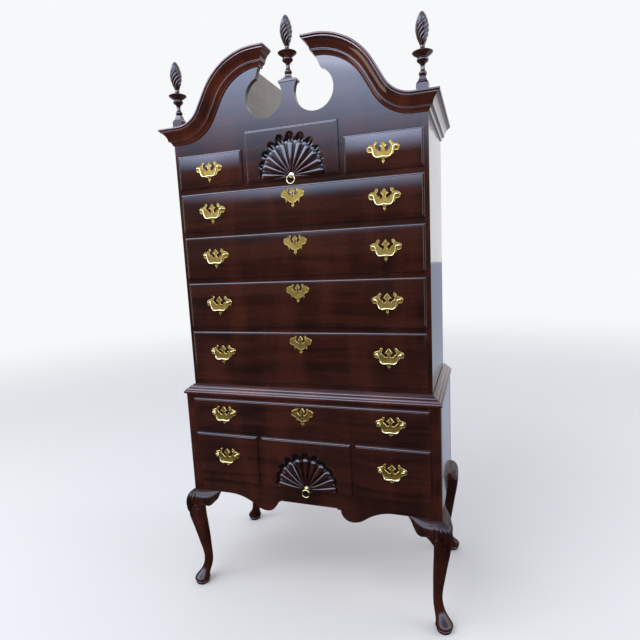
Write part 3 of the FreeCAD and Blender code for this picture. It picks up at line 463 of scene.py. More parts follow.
def flow(knots, values, at):
    # cubic through the knots, each with the slope between its two neighbours
    knots, values, at = (np.asarray(part, float) for part in (knots, values, at))
    slope = np.gradient(values, knots)
    place = np.clip(np.searchsorted(knots, at, side="right") - 1, 0, len(knots) - 2)
    width = knots[place + 1] - knots[place]
    t = (at - knots[place]) / width
    lead = values[place] * (2 * t ** 3 - 3 * t ** 2 + 1) + values[place + 1] * (3 * t ** 2 - 2 * t ** 3)
    return lead + width * (slope[place] * (t ** 3 - 2 * t ** 2 + t) + slope[place + 1] * (t ** 3 - t ** 2))


def flowThrough(table, steps):
    # the same cubic through each column of a table, with so many steps from one row to the next
    count = len(table) - 1
    at = np.linspace(0, count, count * steps + 1)
    return [flow(np.arange(count + 1), column, at) for column in zip(*table)]


def smoothCurve(corners, steps):
    # A curve through the corners (x, y, sharp): cubic between sharp ones, which stay pointed.
    last = len(corners) - 1
    breaks = [0] + [n for n in range(1, last) if len(corners[n]) == 3] + [last]
    runs = []
    for start, end in zip(breaks, breaks[1:]):
        run = np.stack(flowThrough([corner[:2] for corner in corners[start:end + 1]], steps), 1)
        runs.append(run if end == last else run[:-1])
    return np.concatenate(runs)


def ringLoft(points):
    # rings joined into a tube, its two ends closed by flat caps
    rows, columns = points.shape[:2]
    faces = gridFaces(rows, columns, loopColumns=True).tolist()
    faces.append(list(range(columns)))
    faces.append(list(range((rows - 1) * columns, rows * columns)))
    return points, faces


def profileOf(shape):
    # a profile's two columns in metres
    return (smoothCurve(shape["profile"], shape["steps"]) * 1e-3).T


def squareStack(spot, levels):
    # squares about an upright line, by half width and height over the spot, joined and capped
    around = [(-1, -1), (1, -1), (1, 1), (-1, 1)]
    rings = [[(spot[0] + a * w, spot[1] + b * w, spot[2] + z) for a, b in around] for w, z in levels]
    return ringLoft(np.array(rings))


def roundAngles(count):
    # angles evenly round a circle
    return np.linspace(0, 2 * math.pi, count, endpoint=False)


def tubeShell(path, radius, normalAxis, columns, closed=False):
    # a circle carried along a flat path: it stands square to the path, across the path's own plane
    if closed:
        tangent = np.roll(path, -1, 0) - np.roll(path, 1, 0)
    else:
        tangent = np.gradient(path, axis=0)
    tangent = tangent / np.linalg.norm(tangent, axis=1)[:, None]
    across = np.cross(tangent, normalAxis)
    turn = roundAngles(columns)[:, None]
    circle = np.cos(turn) * across[:, None, :] + np.sin(turn) * np.asarray(normalAxis, float)
    return path[:, None, :] + radius[:, None, None] * circle


def smoothStep(low, high, value):
    # 3t^2 - 2t^3 from 0 at the low mark to 1 at the high one
    t = np.clip((value - low) / (high - low), 0, 1)
    return t * t * (3 - 2 * t)


def hump(value, middle, half):
    # 1 - t^2: 1 at the middle, 0 beyond the half width
    return np.clip(1 - ((value - middle) / half) ** 2, 0, 1)


def middleOf(node):
    # the middle of a node's box
    low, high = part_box(node)
    return np.array((low + high) / 2)


# drawer fronts

frontShape = {
    "round": 0.005,
    "roundSteps": 8,
    "rim": 0.0062,
    "step": 0.0015,
    # distance past the rim, and the part of the step that is left there
    "rise": [(0, 1), (0.0005, 0.72), (0.0012, 0.12), (0.0022, 0)],
    "lip": 0.0065,
    "seat": 0.0004,
    "blind": 0.005,
    "block": 0.014,
    "side": 0.012,
    "grid": 0.00098,
}
shell = {
    "rays": 11,
    "turn": math.radians(17.3),
    "radius": 0.114,
    "hub": 0.012,
    "dome": 0.003,
    "domeSunk": 0.0018,
    "floorInner": 0.0026,
    "floorOuter": 0.0086,
    "petal": 0.0072,
    "petalTip": 0.004,
    "petalWidth": 0.36,
    "tipLength": 0.74,
    "ridge": 0.0042,
    "ridgeWidth": 0.07,
    "overhang": 0.003,
    "scoop": 0.0035,
    "scoopRise": 0.0235,
    "veins": 0.0012,
    # depth where the shade starts and how much deeper it is full
    "shade": (0.0016, 0.0058),
    "levels": {"top_shell": 0.013, "lower_shell": 0.0085},
}


def shellRelief(across, up):
    # Relief of the fan about its hub, negative into the wood. Polar: rho outwards, phi from straight up.
    # floor: sinks with rho up to the tips, then rises to a lobed edge that is widest at the top of the fan
    # petals: (1 - |t|^3)^0.5 across each ray, highest near the middle and rounded at the tip
    # ridges: a thin bead between each two rays; veins: three fine ribs in each lobe; hub: a low dome
    rho = np.hypot(across, up)
    phi = np.arctan2(across, up)
    upright = np.clip(np.cos(phi), 0, 1)
    turn, radius, inner = shell["turn"], shell["radius"], shell["floorInner"]
    last = shell["rays"] // 2
    offset = phi - turn * np.clip(np.round(phi / turn), -last, last)
    lobe = np.cos(np.clip(offset / turn, -0.5, 0.5) * math.pi) ** 0.6
    reach = radius + shell["overhang"] + (shell["scoop"] + shell["scoopRise"] * upright ** 1.3) * lobe
    share = rho / radius
    sunk = inner + (shell["floorOuter"] - inner) * np.clip(share, 0, 1) ** 1.3
    past = np.clip((rho - radius) / (reach - radius), 0, 1)
    floor = sunk * np.where(rho < radius, 1, np.sqrt(np.clip(1 - past ** 1.7, 0, 1)))
    veins = shell["veins"] * np.cos(offset / turn * 6 * math.pi) * past * (1 - past) * 4 * upright
    cross = np.clip(1 - (np.abs(offset) / (turn * shell["petalWidth"])) ** 3, 0, 1)
    length = radius * math.tan(turn / 2) * shell["tipLength"]
    tip = np.clip((rho - (radius - length)) / length, 0, 1)
    top = floor + (shell["petal"] - inner) * np.sin(np.clip(share / 0.55, 0, 1) * math.pi / 2)
    top = top - (shell["petal"] + inner - shell["petalTip"]) * smoothStep(0.3, 1.25, share)
    petal = np.clip(top, 0, 1) * np.sqrt(np.clip(cross - tip ** 2, 0, 1))
    ridge = shell["ridge"] * hump(np.abs(offset), turn / 2, turn * shell["ridgeWidth"])
    ridge = ridge * smoothStep(0.015, 0.06, rho) * (1 - smoothStep(radius * 0.84, radius, rho))
    inside = 1 - smoothStep(-0.003, 0.0006, (np.abs(phi) - turn * shell["rays"] / 2) * rho)
    relief = inside * (petal + ridge + veins - floor) * (rho < reach)
    dome = shell["dome"] * np.sqrt(hump(rho, 0, shell["hub"])) - shell["domeSunk"]
    relief = np.where(rho < shell["hub"], dome, relief)
    shadeFrom, shadeOver = shell["shade"]
    return relief, inside * np.clip((-relief - shadeFrom) / shadeOver, 0, 1) ** 1.1


def edgeProfile():
    # inset from the lip's edge against depth behind the field: a quarter round, a flat rim and a small rise
    radius, step = frontShape["round"], frontShape["step"]
    turn = np.linspace(math.pi / 2, 0, frontShape["roundSteps"])
    past, left = np.array(frontShape["rise"]).T
    inset = np.append(radius * (1 - np.sin(turn)), frontShape["rim"] + past)
    return inset, np.append(step + radius * (1 - np.cos(turn)), step * left)


def spread(low, high, inset, count):
    # grid lines that follow the edge profile at both ends and are even between
    inner = np.linspace(low + inset[-1], high - inset[-1], count + 1)[1:-1]
    return np.concatenate([low + inset, inner, (high - inset)[::-1]])


def makeFront(name):
    # The face is a grid: its depth follows the edge profile by the distance to the nearest edge, less the
    # relief. Loops behind it step in to the box's outline and between its sides, where a flat closes it.
    low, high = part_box(name + "_front")
    boxLow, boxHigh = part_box(name + "_box")
    inset, depth = edgeProfile()
    carved = name in shell["levels"]
    count = [max(2, round((high[n] - low[n]) / frontShape["grid"])) if carved else 2 for n in (0, 2)]
    x, z = np.meshgrid(spread(low.x, high.x, inset, count[0]), spread(low.z, high.z, inset, count[1]))
    edge = np.minimum(np.minimum(x - low.x, high.x - x), np.minimum(z - low.z, high.z - z))
    y = low.y + np.interp(edge, inset, depth)
    recess = np.zeros_like(x)
    if carved:
        relief, recess = shellRelief(x - (low.x + high.x) / 2, z - low.z - shell["levels"][name])
        fade = smoothStep(inset[-2], inset[-1], edge)
        y = y - relief * fade
        recess = recess * fade
    rows, columns = x.shape
    order = np.arange(rows * columns).reshape(rows, columns)
    loop = np.concatenate([order[0, :-1], order[:-1, -1], order[-1, :0:-1], order[:0:-1, 0]])
    flat = np.stack([x, y, z], -1).reshape(-1, 3)
    back = low.y + frontShape["step"] + frontShape["lip"]
    tenon, plug = (back + frontShape["seat"] + frontShape[key] for key in ("blind", "block"))
    side = frontShape["side"]
    steps = [
        (low.x, high.x, low.z, high.z, back),
        (boxLow.x, boxHigh.x, boxLow.z, boxHigh.z, back),
        (boxLow.x, boxHigh.x, boxLow.z, boxHigh.z, tenon),
        (boxLow.x + side, boxHigh.x - side, boxLow.z, boxHigh.z, tenon),
        (boxLow.x + side, boxHigh.x - side, boxLow.z, boxHigh.z, plug),
    ]
    across = (flat[loop, 0] - low.x) / (high.x - low.x)
    up = (flat[loop, 2] - low.z) / (high.z - low.z)
    points = [flat]
    for left, right, bottom, top, level in steps:
        x, z = left + across * (right - left), bottom + up * (top - bottom)
        points.append(np.stack([x, level + 0 * up, z], 1))
    faces = gridFaces(rows, columns).tolist()
    behind = rows * columns + np.arange(len(steps) * len(loop)).reshape(len(steps), -1)
    chain = np.concatenate([[loop], behind])
    for first, second in zip(chain, chain[1:]):
        faces += np.stack([first, np.roll(first, -1), np.roll(second, -1), second], 1).tolist()
    faces.append(chain[-1].tolist())
    piece = makePiece(name + "_panel", np.concatenate(points), faces, recess, sharp=38)
    settle(piece, name, "front_wood", "front", name + "_front")


drawerNames = [body for body in frame["bodies"] if body + "_front" in frame["nodes"]]
for drawerName in drawerNames:
    makeFront(drawerName)
print("drawer fronts:", len(drawerNames))


# cabriole legs

leg = {
    # height, lean along the diagonal, half width, squareness (2 is round)
    "sections": [
        (0, 2, 23.6, 2), (1.2, 2, 24.6, 2), (9.4, 2, 24.8, 2), (11.4, 2, 23, 2), (12.8, 2, 23.6, 2),
        (14.6, 2, 27.4, 2), (17.5, 2, 30, 2), (21, 2, 30.4, 2), (25, 1.6, 29.4, 2), (29.5, 0.4, 27.6, 2),
        (36, -2.6, 25, 2.05), (46, -7.4, 21.6, 2.1), (58, -12.8, 19, 2.2), (80, -18.6, 16.9, 2.4),
        (104, -20.5, 16.2, 2.4), (140, -18.6, 17.2, 2.6), (176, -15.3, 20, 2.9), (250, -7.3, 24.8, 3.4),
        (300, -1.4, 28, 3.8), (335, 0.6, 29.6, 4), (360, 0, 30.6, 4.2), (376, -2.2, 30.2, 4.6),
        (388, -5.2, 28.8, 5), (397, -8.8, 26.4, 6), (403, -12.8, 23.6, 8), (406.6, -16.6, 21, 11),
        (408, -19.5, 19.5, 14),
    ],
    "rows": 230,
    "columns": 150,
    # how far the columns crowd towards the arris; width and foot of the post above the knee
    "gather": 0.5,
    "post": 0.039,
    "postFoot": 0.4078,
    "carving": 0.0038,
    "crease": 0.35,
    "hollow": 0.55,
    "leafTop": 0.398,
    # angle from the arris in radians, length of each lobe
    "lobes": [(0, 0.08), (0.38, 0.06), (-0.38, 0.06), (0.76, 0.044), (-0.76, 0.044)],
    "lobeHalf": 0.19,
}
caseCorners = {"front_right": (1, -1), "front_left": (-1, -1), "rear_right": (1, 1), "rear_left": (-1, 1)}


def leafCarving(angle, height):
    # A leaf of rounded lobes that hangs over the knee's arris: each lobe is (1 - t^2)^0.5 across and
    # (1 - u^4)^0.5 along, with a crease down its middle and a hollow round it.
    below = leg["leafTop"] - height
    relief, near = np.zeros_like(height), np.zeros_like(height)
    for centre, length in leg["lobes"]:
        along = np.clip(below / length, 0, 1.4)
        across = np.abs(angle - centre) / leg["lobeHalf"]
        rise = np.sqrt(hump(across, 0, 1) * np.clip(1 - along ** 4, 0, 1))
        relief = np.maximum(relief, rise - leg["crease"] * np.clip(1 - across * 5, 0, 1) * (rise > 0))
        near = np.maximum(near, np.clip(1.5 - across, 0, 0.5) * np.clip(1.2 - along, 0, 0.2) * 10)
    shown = smoothStep(-0.001, 0.006, below)
    hollow = near * (1 - np.clip(relief * 2, 0, 1))
    # painted shade: the second value marks the hollow round the lobes, which the leg's finish darkens
    return (relief - leg["hollow"] * hollow) * shown, hollow * shown


def legSection(height):
    # lean, half width and squareness of the leg at each height, all in millimetres
    table = np.array(leg["sections"], float)
    return [flow(table[:, 0], column, height) for column in table[:, 1:].T]


def makeLeg(name, side, end):
    # Rounded square |cos|^n + |sin|^n about a centre that leans along the corner's diagonal. A post tops it.
    low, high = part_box("lower_carcase")
    cornerX, cornerY = side * high.x, (low.y if end < 0 else -low.y)
    drawn = [section[0] for section in leg["sections"]]
    heights = np.unique(np.concatenate([np.linspace(0, drawn[-1], leg["rows"]), drawn]))
    lean, half, square = (part[:, None] for part in legSection(heights))
    even = np.linspace(-math.pi, math.pi, leg["columns"], endpoint=False)
    turn = math.pi / 4 + even - leg["gather"] * np.sin(even)
    radius = half * 1e-3 / (np.abs(np.cos(turn)) ** square + np.abs(np.sin(turn)) ** square) ** (1 / square)
    height = heights[:, None] * 1e-3 + 0 * turn
    recess = np.zeros_like(height)
    if end < 0:
        relief, recess = leafCarving(turn - math.pi / 4 + 0 * height, height)
        radius = radius + leg["carving"] * relief
    x = cornerX + side * (lean * 1e-3 + radius * np.cos(turn))
    y = cornerY + end * (lean * 1e-3 + radius * np.sin(turn))
    stem = ringLoft(np.stack([x, y, height], -1))
    reach = leg["post"] / 2
    middle = (cornerX - side * reach, cornerY - end * reach, 0)
    upper = squareStack(middle, [(reach, leg["postFoot"]), (reach, high.z)])
    return makePiece(name + "_leg", *gather([stem, upper]), recess, sharp=40)


for cornerName, (side, end) in caseCorners.items():
    node = ["cabriole_legs"] if cornerName == "front_right" else []
    settle(makeLeg(cornerName, side, end), "case", "carved_wood", "leg", *node)
print("legs carved")


# knee blocks

block = {
    # In millimetres. By the distance from the case's corner: the lower edge, and the part left of the
    # face's bulge. By height: that bulge.
    "edge": [
        (26, 328), (32, 335), (38, 344), (46, 353), (54, 357.5), (60, 356.5), (68, 354.5), (77, 356),
        (85, 361), (92, 370), (98, 381), (103, 391), (108, 399), (114, 405.5),
    ],
    "taper": [(26, 1.0), (48, 0.97), (68, 0.85), (84, 0.62), (96, 0.38), (106, 0.2), (114, 0.08)],
    "face": [
        (322, 27), (345, 29.4), (362, 30.4), (376, 28.4), (388, 24.4), (397, 18.2), (403, 11.2),
        (406.6, 4.8), (408, 0.4),
    ],
    "back": 16,
    # a bead on the lower edge and a painted shadow line over it, where no groove is cut: level over the edge,
    # half width, how proud or how dark
    "bead": (3.2, 3.0, 1.6),
    "beadMost": 1.5,
    "groove": (7.4, 1.6, 0.8),
    "rows": 70,
    "columns": 26,
}


def byCorner(side, end, inward, out, sideways):
    # x and y of places so far in from the case's corner and so far out of its face, in millimetres
    low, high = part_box("lower_carcase")
    a, b = (out, -inward) if sideways else (-inward, out)
    return side * (high.x + a * 1e-3), end * (b * 1e-3 - low.y)


def makeBlock(name, side, end, sideways):
    # Rings along the block: the face bulges like the knee, less towards the tip, with a bead on the edge and
    # a line of painted shade over it.
    out = np.linspace(block["edge"][0][0], block["edge"][-1][0], block["rows"])
    edge = flow(*zip(*block["edge"]), out)[:, None]
    taper = flow(*zip(*block["taper"]), out)[:, None]
    top = block["face"][-1][0]
    height = edge + (top - edge) * np.linspace(0, 1, block["columns"])
    face = flow(*zip(*block["face"]), height)
    beadLevel, beadHalf, bead = block["bead"]
    grooveLevel, grooveHalf, dark = block["groove"]
    rise = height - edge
    proud = face * taper + bead * np.sqrt(hump(rise, beadLevel, beadHalf)) * np.clip(taper * 1.6, 0, 1)
    proud = np.minimum(proud, face + block["beadMost"])
    back = np.full_like(edge, -block["back"])
    depth = np.concatenate([back, proud, back], 1)
    level = np.concatenate([edge, height, np.full_like(edge, top)], 1)
    run = np.repeat(out[:, None], depth.shape[1], 1)
    # painted shade: the recess mark darkens a band over the bead, where a groove's shadow would fall
    recess = np.concatenate([0 * edge, hump(rise, grooveLevel, grooveHalf) * dark, 0 * edge], 1)
    x, y = byCorner(side, end, run, depth, sideways)
    return makePiece(name, *ringLoft(np.stack([x, y, level * 1e-3], -1)), recess, sharp=40)


for cornerName, (side, end) in caseCorners.items():
    for sideways in (False, True):
        if end < 0 or sideways:
            blockName = cornerName + ("_side_block" if sideways else "_block")
            node = ["knee_blocks"] if blockName == "front_right_block" else []
            settle(makeBlock(blockName, side, end, sideways), "case", "carved_wood", "leg", *node)
print("knee blocks made")


# scrolls carved on the front knees

scroll = {
    # distance from the case's corner, height, radius: a volute at the block's foot, a tongue below it
    "volute": [
        (40, 346, 0.9), (34, 339.5, 1.4), (27.5, 335, 1.8), (20.5, 334.5, 2.1), (15, 338.5, 2.2),
        (13, 345, 2.2), (15, 351, 2.1), (20, 353, 2), (24, 350, 1.9), (24, 345.5, 1.9), (20.5, 343.8, 2.2),
    ],
    "tongue": [
        (27, 334, 1.2), (25.6, 326, 2), (24.4, 316, 2.3), (22.6, 306, 2.2), (19.4, 298, 1.8),
        (15.4, 294, 0.9),
    ],
    "proud": 0.5,
    "steps": 8,
    "columns": 14,
}


def makeScroll(name, side, end, sideways):
    # A wire along each drawn line, laid on the knee: lean + half (1 - |u|^n)^(1/n) out, and a little proud.
    axis = (1, 0, 0) if sideways else (0, 1, 0)
    shells = []
    for line in ("volute", "tongue"):
        inward, height, wire = flowThrough(scroll[line], scroll["steps"])
        lean, half, square = legSection(height)
        share = np.clip(np.abs(inward + lean) / half, 0, 0.97)
        out = lean + half * (1 - share ** square) ** (1 / square) + scroll["proud"]
        path = np.stack([*byCorner(side, end, inward, out, sideways), height * 1e-3], 1)
        shells.append(ringLoft(tubeShell(path, wire * 1e-3, axis, scroll["columns"])))
    return makePiece(name, *gather(shells), sharp=50)


for cornerName, (side, end) in caseCorners.items():
    if end < 0:
        for sideways in (False, True):
            scrollName = cornerName + ("_side_scroll" if sideways else "_scroll")
            settle(makeScroll(scrollName, side, end, sideways), "case", "carved_wood", "leg")
print("knee scrolls carved")


# mouldings

upperCase = {"half": 0.455, "wall": -0.217, "back": 0.240}
crown = {
    "neckEnd": 0.102,
    "upperRadius": 0.172,
    "upperSteps": 40,
    "lowerRadius": 0.15,
    "lowerSteps": 36,
    "slope": math.radians(60),
    "run": 0.065,
    "level": 1.732,
    "returnDepth": 0.028,
    # distance out from the wall and height
    "profile": [
        (0, 0, True), (4, 0, True), (4.3, 2.5), (5.4, 6), (7.6, 9.3), (10.2, 11.3), (12, 12, True),
        (12, 14, True), (15, 14, True), (15.3, 18), (17.2, 25), (20.8, 32), (25.6, 38.3), (30.4, 42.4),
        (34, 44, True), (34, 46.6, True), (36.6, 47.6), (38, 50), (38, 52.6), (37.4, 55, True),
        (0, 55, True),
    ],
    "steps": 4,
}
waist = {
    "profile": [
        (0, 805, True), (31, 805, True), (31, 806.5, True), (33.2, 808.6), (33.7, 811.5), (32.8, 814.6),
        (31, 816.5, True), (28, 817.5, True), (27, 820.4), (24.2, 823.6), (20, 825, True), (18, 825.5, True),
        (17.2, 828.6), (14.4, 831.6), (10, 832.5, True), (7, 833, True), (6, 837, True), (0, 837, True),
    ],
    "steps": 4,
}


def sweepPiece(name, rings):
    # rings of one profile joined along a path; the map runs along the path and round the profile
    rings = np.asarray(rings)
    points, faces = ringLoft(rings)
    lengths = np.linalg.norm(np.diff(rings[:, 0], axis=0), axis=1)
    along = np.concatenate([[0], np.cumsum(lengths)])[:, None] + 0 * rings[..., 0]
    girth = np.linalg.norm(np.diff(rings[0], axis=0), axis=1)
    across = np.concatenate([[0], np.cumsum(girth)])[None, :] + 0 * rings[..., 0]
    return makePiece(name, points, faces, along=np.stack([along, across + rings[0, 0, 0]], -1), sharp=28)


def makeCrown(name, side):
    # Raised square to an S-curve of two arcs and a tangent, turned square at both ends by a mitre.
    out, up = profileOf(crown)[:, :-1]
    upper, lower, slope = crown["upperRadius"], crown["lowerRadius"], crown["slope"]
    end, wall, half = crown["neckEnd"], upperCase["wall"], upperCase["half"]
    foot = end + (upper + lower) * math.sin(slope) + crown["run"] * math.cos(slope)
    rise = (upper + lower) * (1 - math.cos(slope)) + crown["run"] * math.sin(slope)
    crest = crown["level"] + rise
    rings = []

    def station(x, y, z):
        rings.append(np.stack([side * (x + 0 * up), y + 0 * up, z + 0 * up], -1))

    station(end - out, wall + crown["returnDepth"], crest + up)
    station(end - out, wall - out, crest + up)
    for turn in np.linspace(0, slope, crown["upperSteps"]):
        radius = upper + up
        station(end + radius * math.sin(turn), wall - out, crest - upper + radius * math.cos(turn))
    for turn in np.linspace(slope, 0, crown["lowerSteps"]):
        radius = lower - up
        station(foot - radius * math.sin(turn), wall - out, crown["level"] + lower - radius * math.cos(turn))
    station(half + out, wall - out, crown["level"] + up)
    station(half + out, upperCase["back"], crown["level"] + up)
    return sweepPiece(name, rings)


def makeWaist():
    # the profile at the ends of both side lengths and at the two mitres of the front
    out, up = profileOf(waist)[:, :-1]
    rings = []
    for side, end in [(-1, 1), (-1, -1), (1, -1), (1, 1)]:
        y = upperCase["back"] + 0 * out if end > 0 else upperCase["wall"] - out
        rings.append(np.stack([side * (upperCase["half"] + out), y, up], -1))
    return sweepPiece("waist_moulding_run", rings)


settle(makeCrown("right_swan_neck", 1), "case", "case_wood", "moulding", "swan_neck_cornice")
settle(makeCrown("left_swan_neck", -1), "case", "case_wood", "moulding")
settle(makeWaist(), "case", "case_wood", "moulding", "waist_moulding")
print("mouldings run")


# finials

finial = {
    # radius, height; sharp where a fillet breaks the turning
    "profile": [
        (0.01, 13, True), (9.4, 13, True), (8.8, 17, True), (10.8, 19.5), (12.4, 23.5), (12.2, 27.5),
        (9.8, 31, True), (7.6, 35), (6.6, 42), (7.2, 49), (10.6, 55, True), (14.4, 57.6), (17.6, 61.5),
        (17.8, 66), (15.2, 69.4, True), (14.6, 71.2, True), (17.6, 73.6), (23.6, 77.4), (28.8, 81.2),
        (31.4, 84.2), (31.6, 85.8), (30.2, 87, True), (22, 90), (13.5, 93.8), (8.4, 98.8), (7.2, 105, True),
        (10.2, 112), (15.2, 124), (19.2, 138), (20.8, 152), (19.4, 167), (15.2, 182), (9, 195), (3.4, 201.4),
        (0.01, 203, True),
    ],
    "steps": 5,
    "columns": 120,
    "flameFoot": 0.106,
    "strands": 8,
    "strandDepth": 0.18,
    "twist": 49,
    "fadeIn": 0.1,
    "fadeOut": 0.93,
    # half width and height of the square foot: on the middle pedestal, and let down over a corner plinth
    "foot": [(19.5, 0, True), (19.5, 2.6, True), (14.6, 5.2), (11.4, 8.6), (9.6, 12), (8.9, 16)],
    "cornerFoot": [
        (18.6, -7, True), (18.6, -5, True), (16.6, -2.6), (14.2, 1.2), (12.2, 5.6), (10.6, 10.4), (9.4, 16),
    ],
    "footSteps": 4,
}
plinth = {"at": 0.4375, "half": 0.0188, "front": -0.214, "foot": 1.77, "top": 1.8165}
standing = {
    "middle": (0, -0.202, 1.894),
    "right": (0.438, -0.1955, 1.823),
    "left": (-0.438, -0.1955, 1.823),
}


def makeFinial(name, spot, foot):
    # Turned profile about an upright axis, on a square flared foot. The flame's radius drops by 1 - |cos|
    # between strands, at an angle that grows steadily with height.
    radius, height = profileOf(finial)[:, :, None]
    turn = roundAngles(finial["columns"])
    share = np.clip((height - finial["flameFoot"]) / (height.max() - finial["flameFoot"]), 0, 1)
    wave = np.abs(np.cos(finial["strands"] / 2 * (turn - finial["twist"] * height)))
    depth = smoothStep(0.0, finial["fadeIn"], share) * (1 - smoothStep(finial["fadeOut"], 1.0, share))
    carved = radius * (1 - finial["strandDepth"] * depth * (1 - wave) ** 1.2)
    # painted shade: the recess mark darkens the hollows between the flame's strands
    recess = depth * (1 - smoothStep(0.0, 0.5, wave)) * 0.85
    x, y = spot[0] + carved * np.cos(turn), spot[1] + carved * np.sin(turn)
    stem = ringLoft(np.stack([x, y, spot[2] + height + 0 * turn], -1))
    base = squareStack(spot, smoothCurve(foot, finial["footSteps"]) * 1e-3)
    return makePiece(name, *gather([stem, base]), recess, sharp=40)


def makePlinth(name, side):
    # a square block under a corner finial
    half = plinth["half"]
    middle = (side * plinth["at"], plinth["front"] + half, 0)
    return makePiece(name, *squareStack(middle, [(half, plinth["foot"]), (half, plinth["top"])]), sharp=20)


for finialName, spot in standing.items():
    node = ["flame_finials"] if finialName == "middle" else []
    foot = finial["foot" if finialName == "middle" else "cornerFoot"]
    settle(makeFinial(finialName + "_finial", spot, foot), "case", "carved_wood", "carved", *node)
settle(makePlinth("right_plinth", 1), "case", "carved_wood", "carved")
settle(makePlinth("left_plinth", -1), "case", "carved_wood", "carved")
print("finials turned")


# brass

plate = {
    # right half of the bat-wing outline, from the drop's tip to the crest, in millimetres
    "outline": [
        (0, -52, True), (1.6, -47), (3.2, -43.4), (6.8, -40, True), (4.6, -38.4), (3.4, -36.2), (6, -33.6),
        (12, -33), (21.5, -30), (30.5, -23.2), (36.6, -14), (38.4, -12.2, True), (43, -13.2), (48.4, -11),
        (51.7, -5.6), (51.8, 0.6), (48.6, 6.4), (42.4, 9.8), (35.6, 11.6), (30.6, 14.6), (28.6, 18.8),
        (24.6, 23.6, True), (21.4, 20.4), (20, 15.6), (22.2, 11), (26, 6.6), (25.2, 3.6, True), (21.6, -0.6),
        (17.4, -3.4), (13.8, -8.4), (10, -10), (6.8, -8.6), (5, -5), (4.8, -1.6), (7.2, 2.6),
        (13.2, 6.4, True), (9, 10.8), (4.2, 16.2), (0, 22.2, True),
    ],
    "keyOutline": [
        (0, -46.2, True), (2, -42.6), (6.2, -37.8, True), (3.8, -35), (3.6, -31.6), (6.6, -29.2),
        (11, -27.6), (15, -25.2), (18, -21.4, True), (20.2, -24.2), (23.4, -29.2, True), (25, -23.4),
        (25.8, -17.6), (28, -12.8, True), (32, -11.6), (37, -10.2), (41, -6), (42.3, -0.2), (40.6, 5.8),
        (36, 10.6), (30.4, 13), (25, 14), (21.4, 16.2), (18.2, 21.6, True), (15, 17.4), (14.6, 12.2),
        (17, 7.6), (18.2, 4.4, True), (14.2, -0.6), (10.4, -4.6), (7.4, -5.2), (5.9, -2.4), (6.4, 1.6),
        (10, 6.8, True), (7.2, 11.2), (3.6, 16), (0, 21.4, True),
    ],
    "steps": 4,
    # inset from the outline against height above the wood
    "rim": [(0, 0), (0, 1.1), (0.25, 1.6), (0.8, 1.9), (1.4, 1.8), (1.9, 1.3), (2.2, 0.9)],
    "field": 0.9,
    # the rim takes at most this part of the room inside the outline
    "roomShare": 0.8,
    "keyhole": [
        (0, -13, True), (2.1, -13, True), (1.1, -2.5, True), (2.2, -0.4), (2.4, 2.2), (1.3, 4.4),
        (0, 5.2, True),
    ],
}
# height of each escutcheon over the middle of its front, in millimetres
lockLevels = {"upper_fifth": 62, "upper_fourth": 51, "upper_third": 43, "upper_second": 40, "lower_long": 28}
letIn = 0.0006  # how far a rosette's back and a keyhole's shadow reach into the wood


def wholeOutline(half):
    # the right half and its mirror image as one closed loop, with its outward normals
    mirror = half[1:-1][::-1] * (-1, 1)
    loop = np.concatenate([half, mirror])
    tangent = np.roll(loop, -1, 0) - np.roll(loop, 1, 0)
    tangent /= np.linalg.norm(tangent, axis=1)[:, None]
    return loop, np.stack([tangent[:, 1], -tangent[:, 0]], 1)


def roomInside(loop, normal):
    # radius of the largest disc inside that touches each point: min of d^2 / (2 n.d) over the other points
    gap = loop[None, :, :] - loop[:, None, :]
    square = (gap ** 2).sum(-1)
    inward = -(gap * normal[:, None, :]).sum(-1)
    radius = np.where(inward > 1e-6, square / np.maximum(2 * inward, 1e-9), 1e9)
    return radius.min(1)


def platePiece(name, outline, spots, keyhole=False):
    # The rim's profile is carried round the outline, narrowed where the plate is thin; the field is flat.
    loop, normal = wholeOutline(smoothCurve(plate[outline], plate["steps"]))
    room = roomInside(loop, normal) * plate["roomShare"] / plate["rim"][-1][0]
    rings, marks = [], []
    for inset, height in plate["rim"]:
        inner = loop - normal * np.minimum(inset, room * inset)[:, None]
        rings.append(np.insert(inner, 2, height, 1))
        marks.append(np.full(len(loop), float(inset >= plate["rim"][-2][0])))
    rings = np.array(rings)
    rows, columns = rings.shape[:2]
    faces = gridFaces(rows, columns, loopColumns=True).tolist()
    flat = rings.reshape(-1, 3)
    first, last = list(range(columns)), list(range((rows - 1) * columns, rows * columns))
    if keyhole:
        hole = wholeOutline(smoothCurve(plate["keyhole"], plate["steps"]))[0]
        flat = np.concatenate([flat, np.insert(hole, 2, 0, 1), np.insert(hole, 2, plate["field"], 1)])
        marks.append(np.ones(2 * len(hole)))
        lower, upper = (rows * columns + np.arange(2 * len(hole)).reshape(2, -1)).tolist()
        faces += [[lower[n], lower[n - 1], upper[n - 1], upper[n]] for n in range(len(hole))]
        for outside, inside in ((first, lower), (last, upper)):
            both = outside + inside
            lines = [[Vector(flat[n]) for n in outside], [Vector(flat[n]) for n in inside]]
            faces += [[both[n] for n in corner] for corner in tessellate_polygon(lines)]
    else:
        faces += [first, last]
    shells = []
    for x, y, z in spots:
        spot = np.stack([x + flat[:, 0] * 1e-3, y - flat[:, 2] * 1e-3, z + flat[:, 1] * 1e-3], 1)
        shells.append((spot, faces))
    return makePiece(name, *gather(shells), np.tile(np.concatenate(marks), len(spots)), sharp=35)


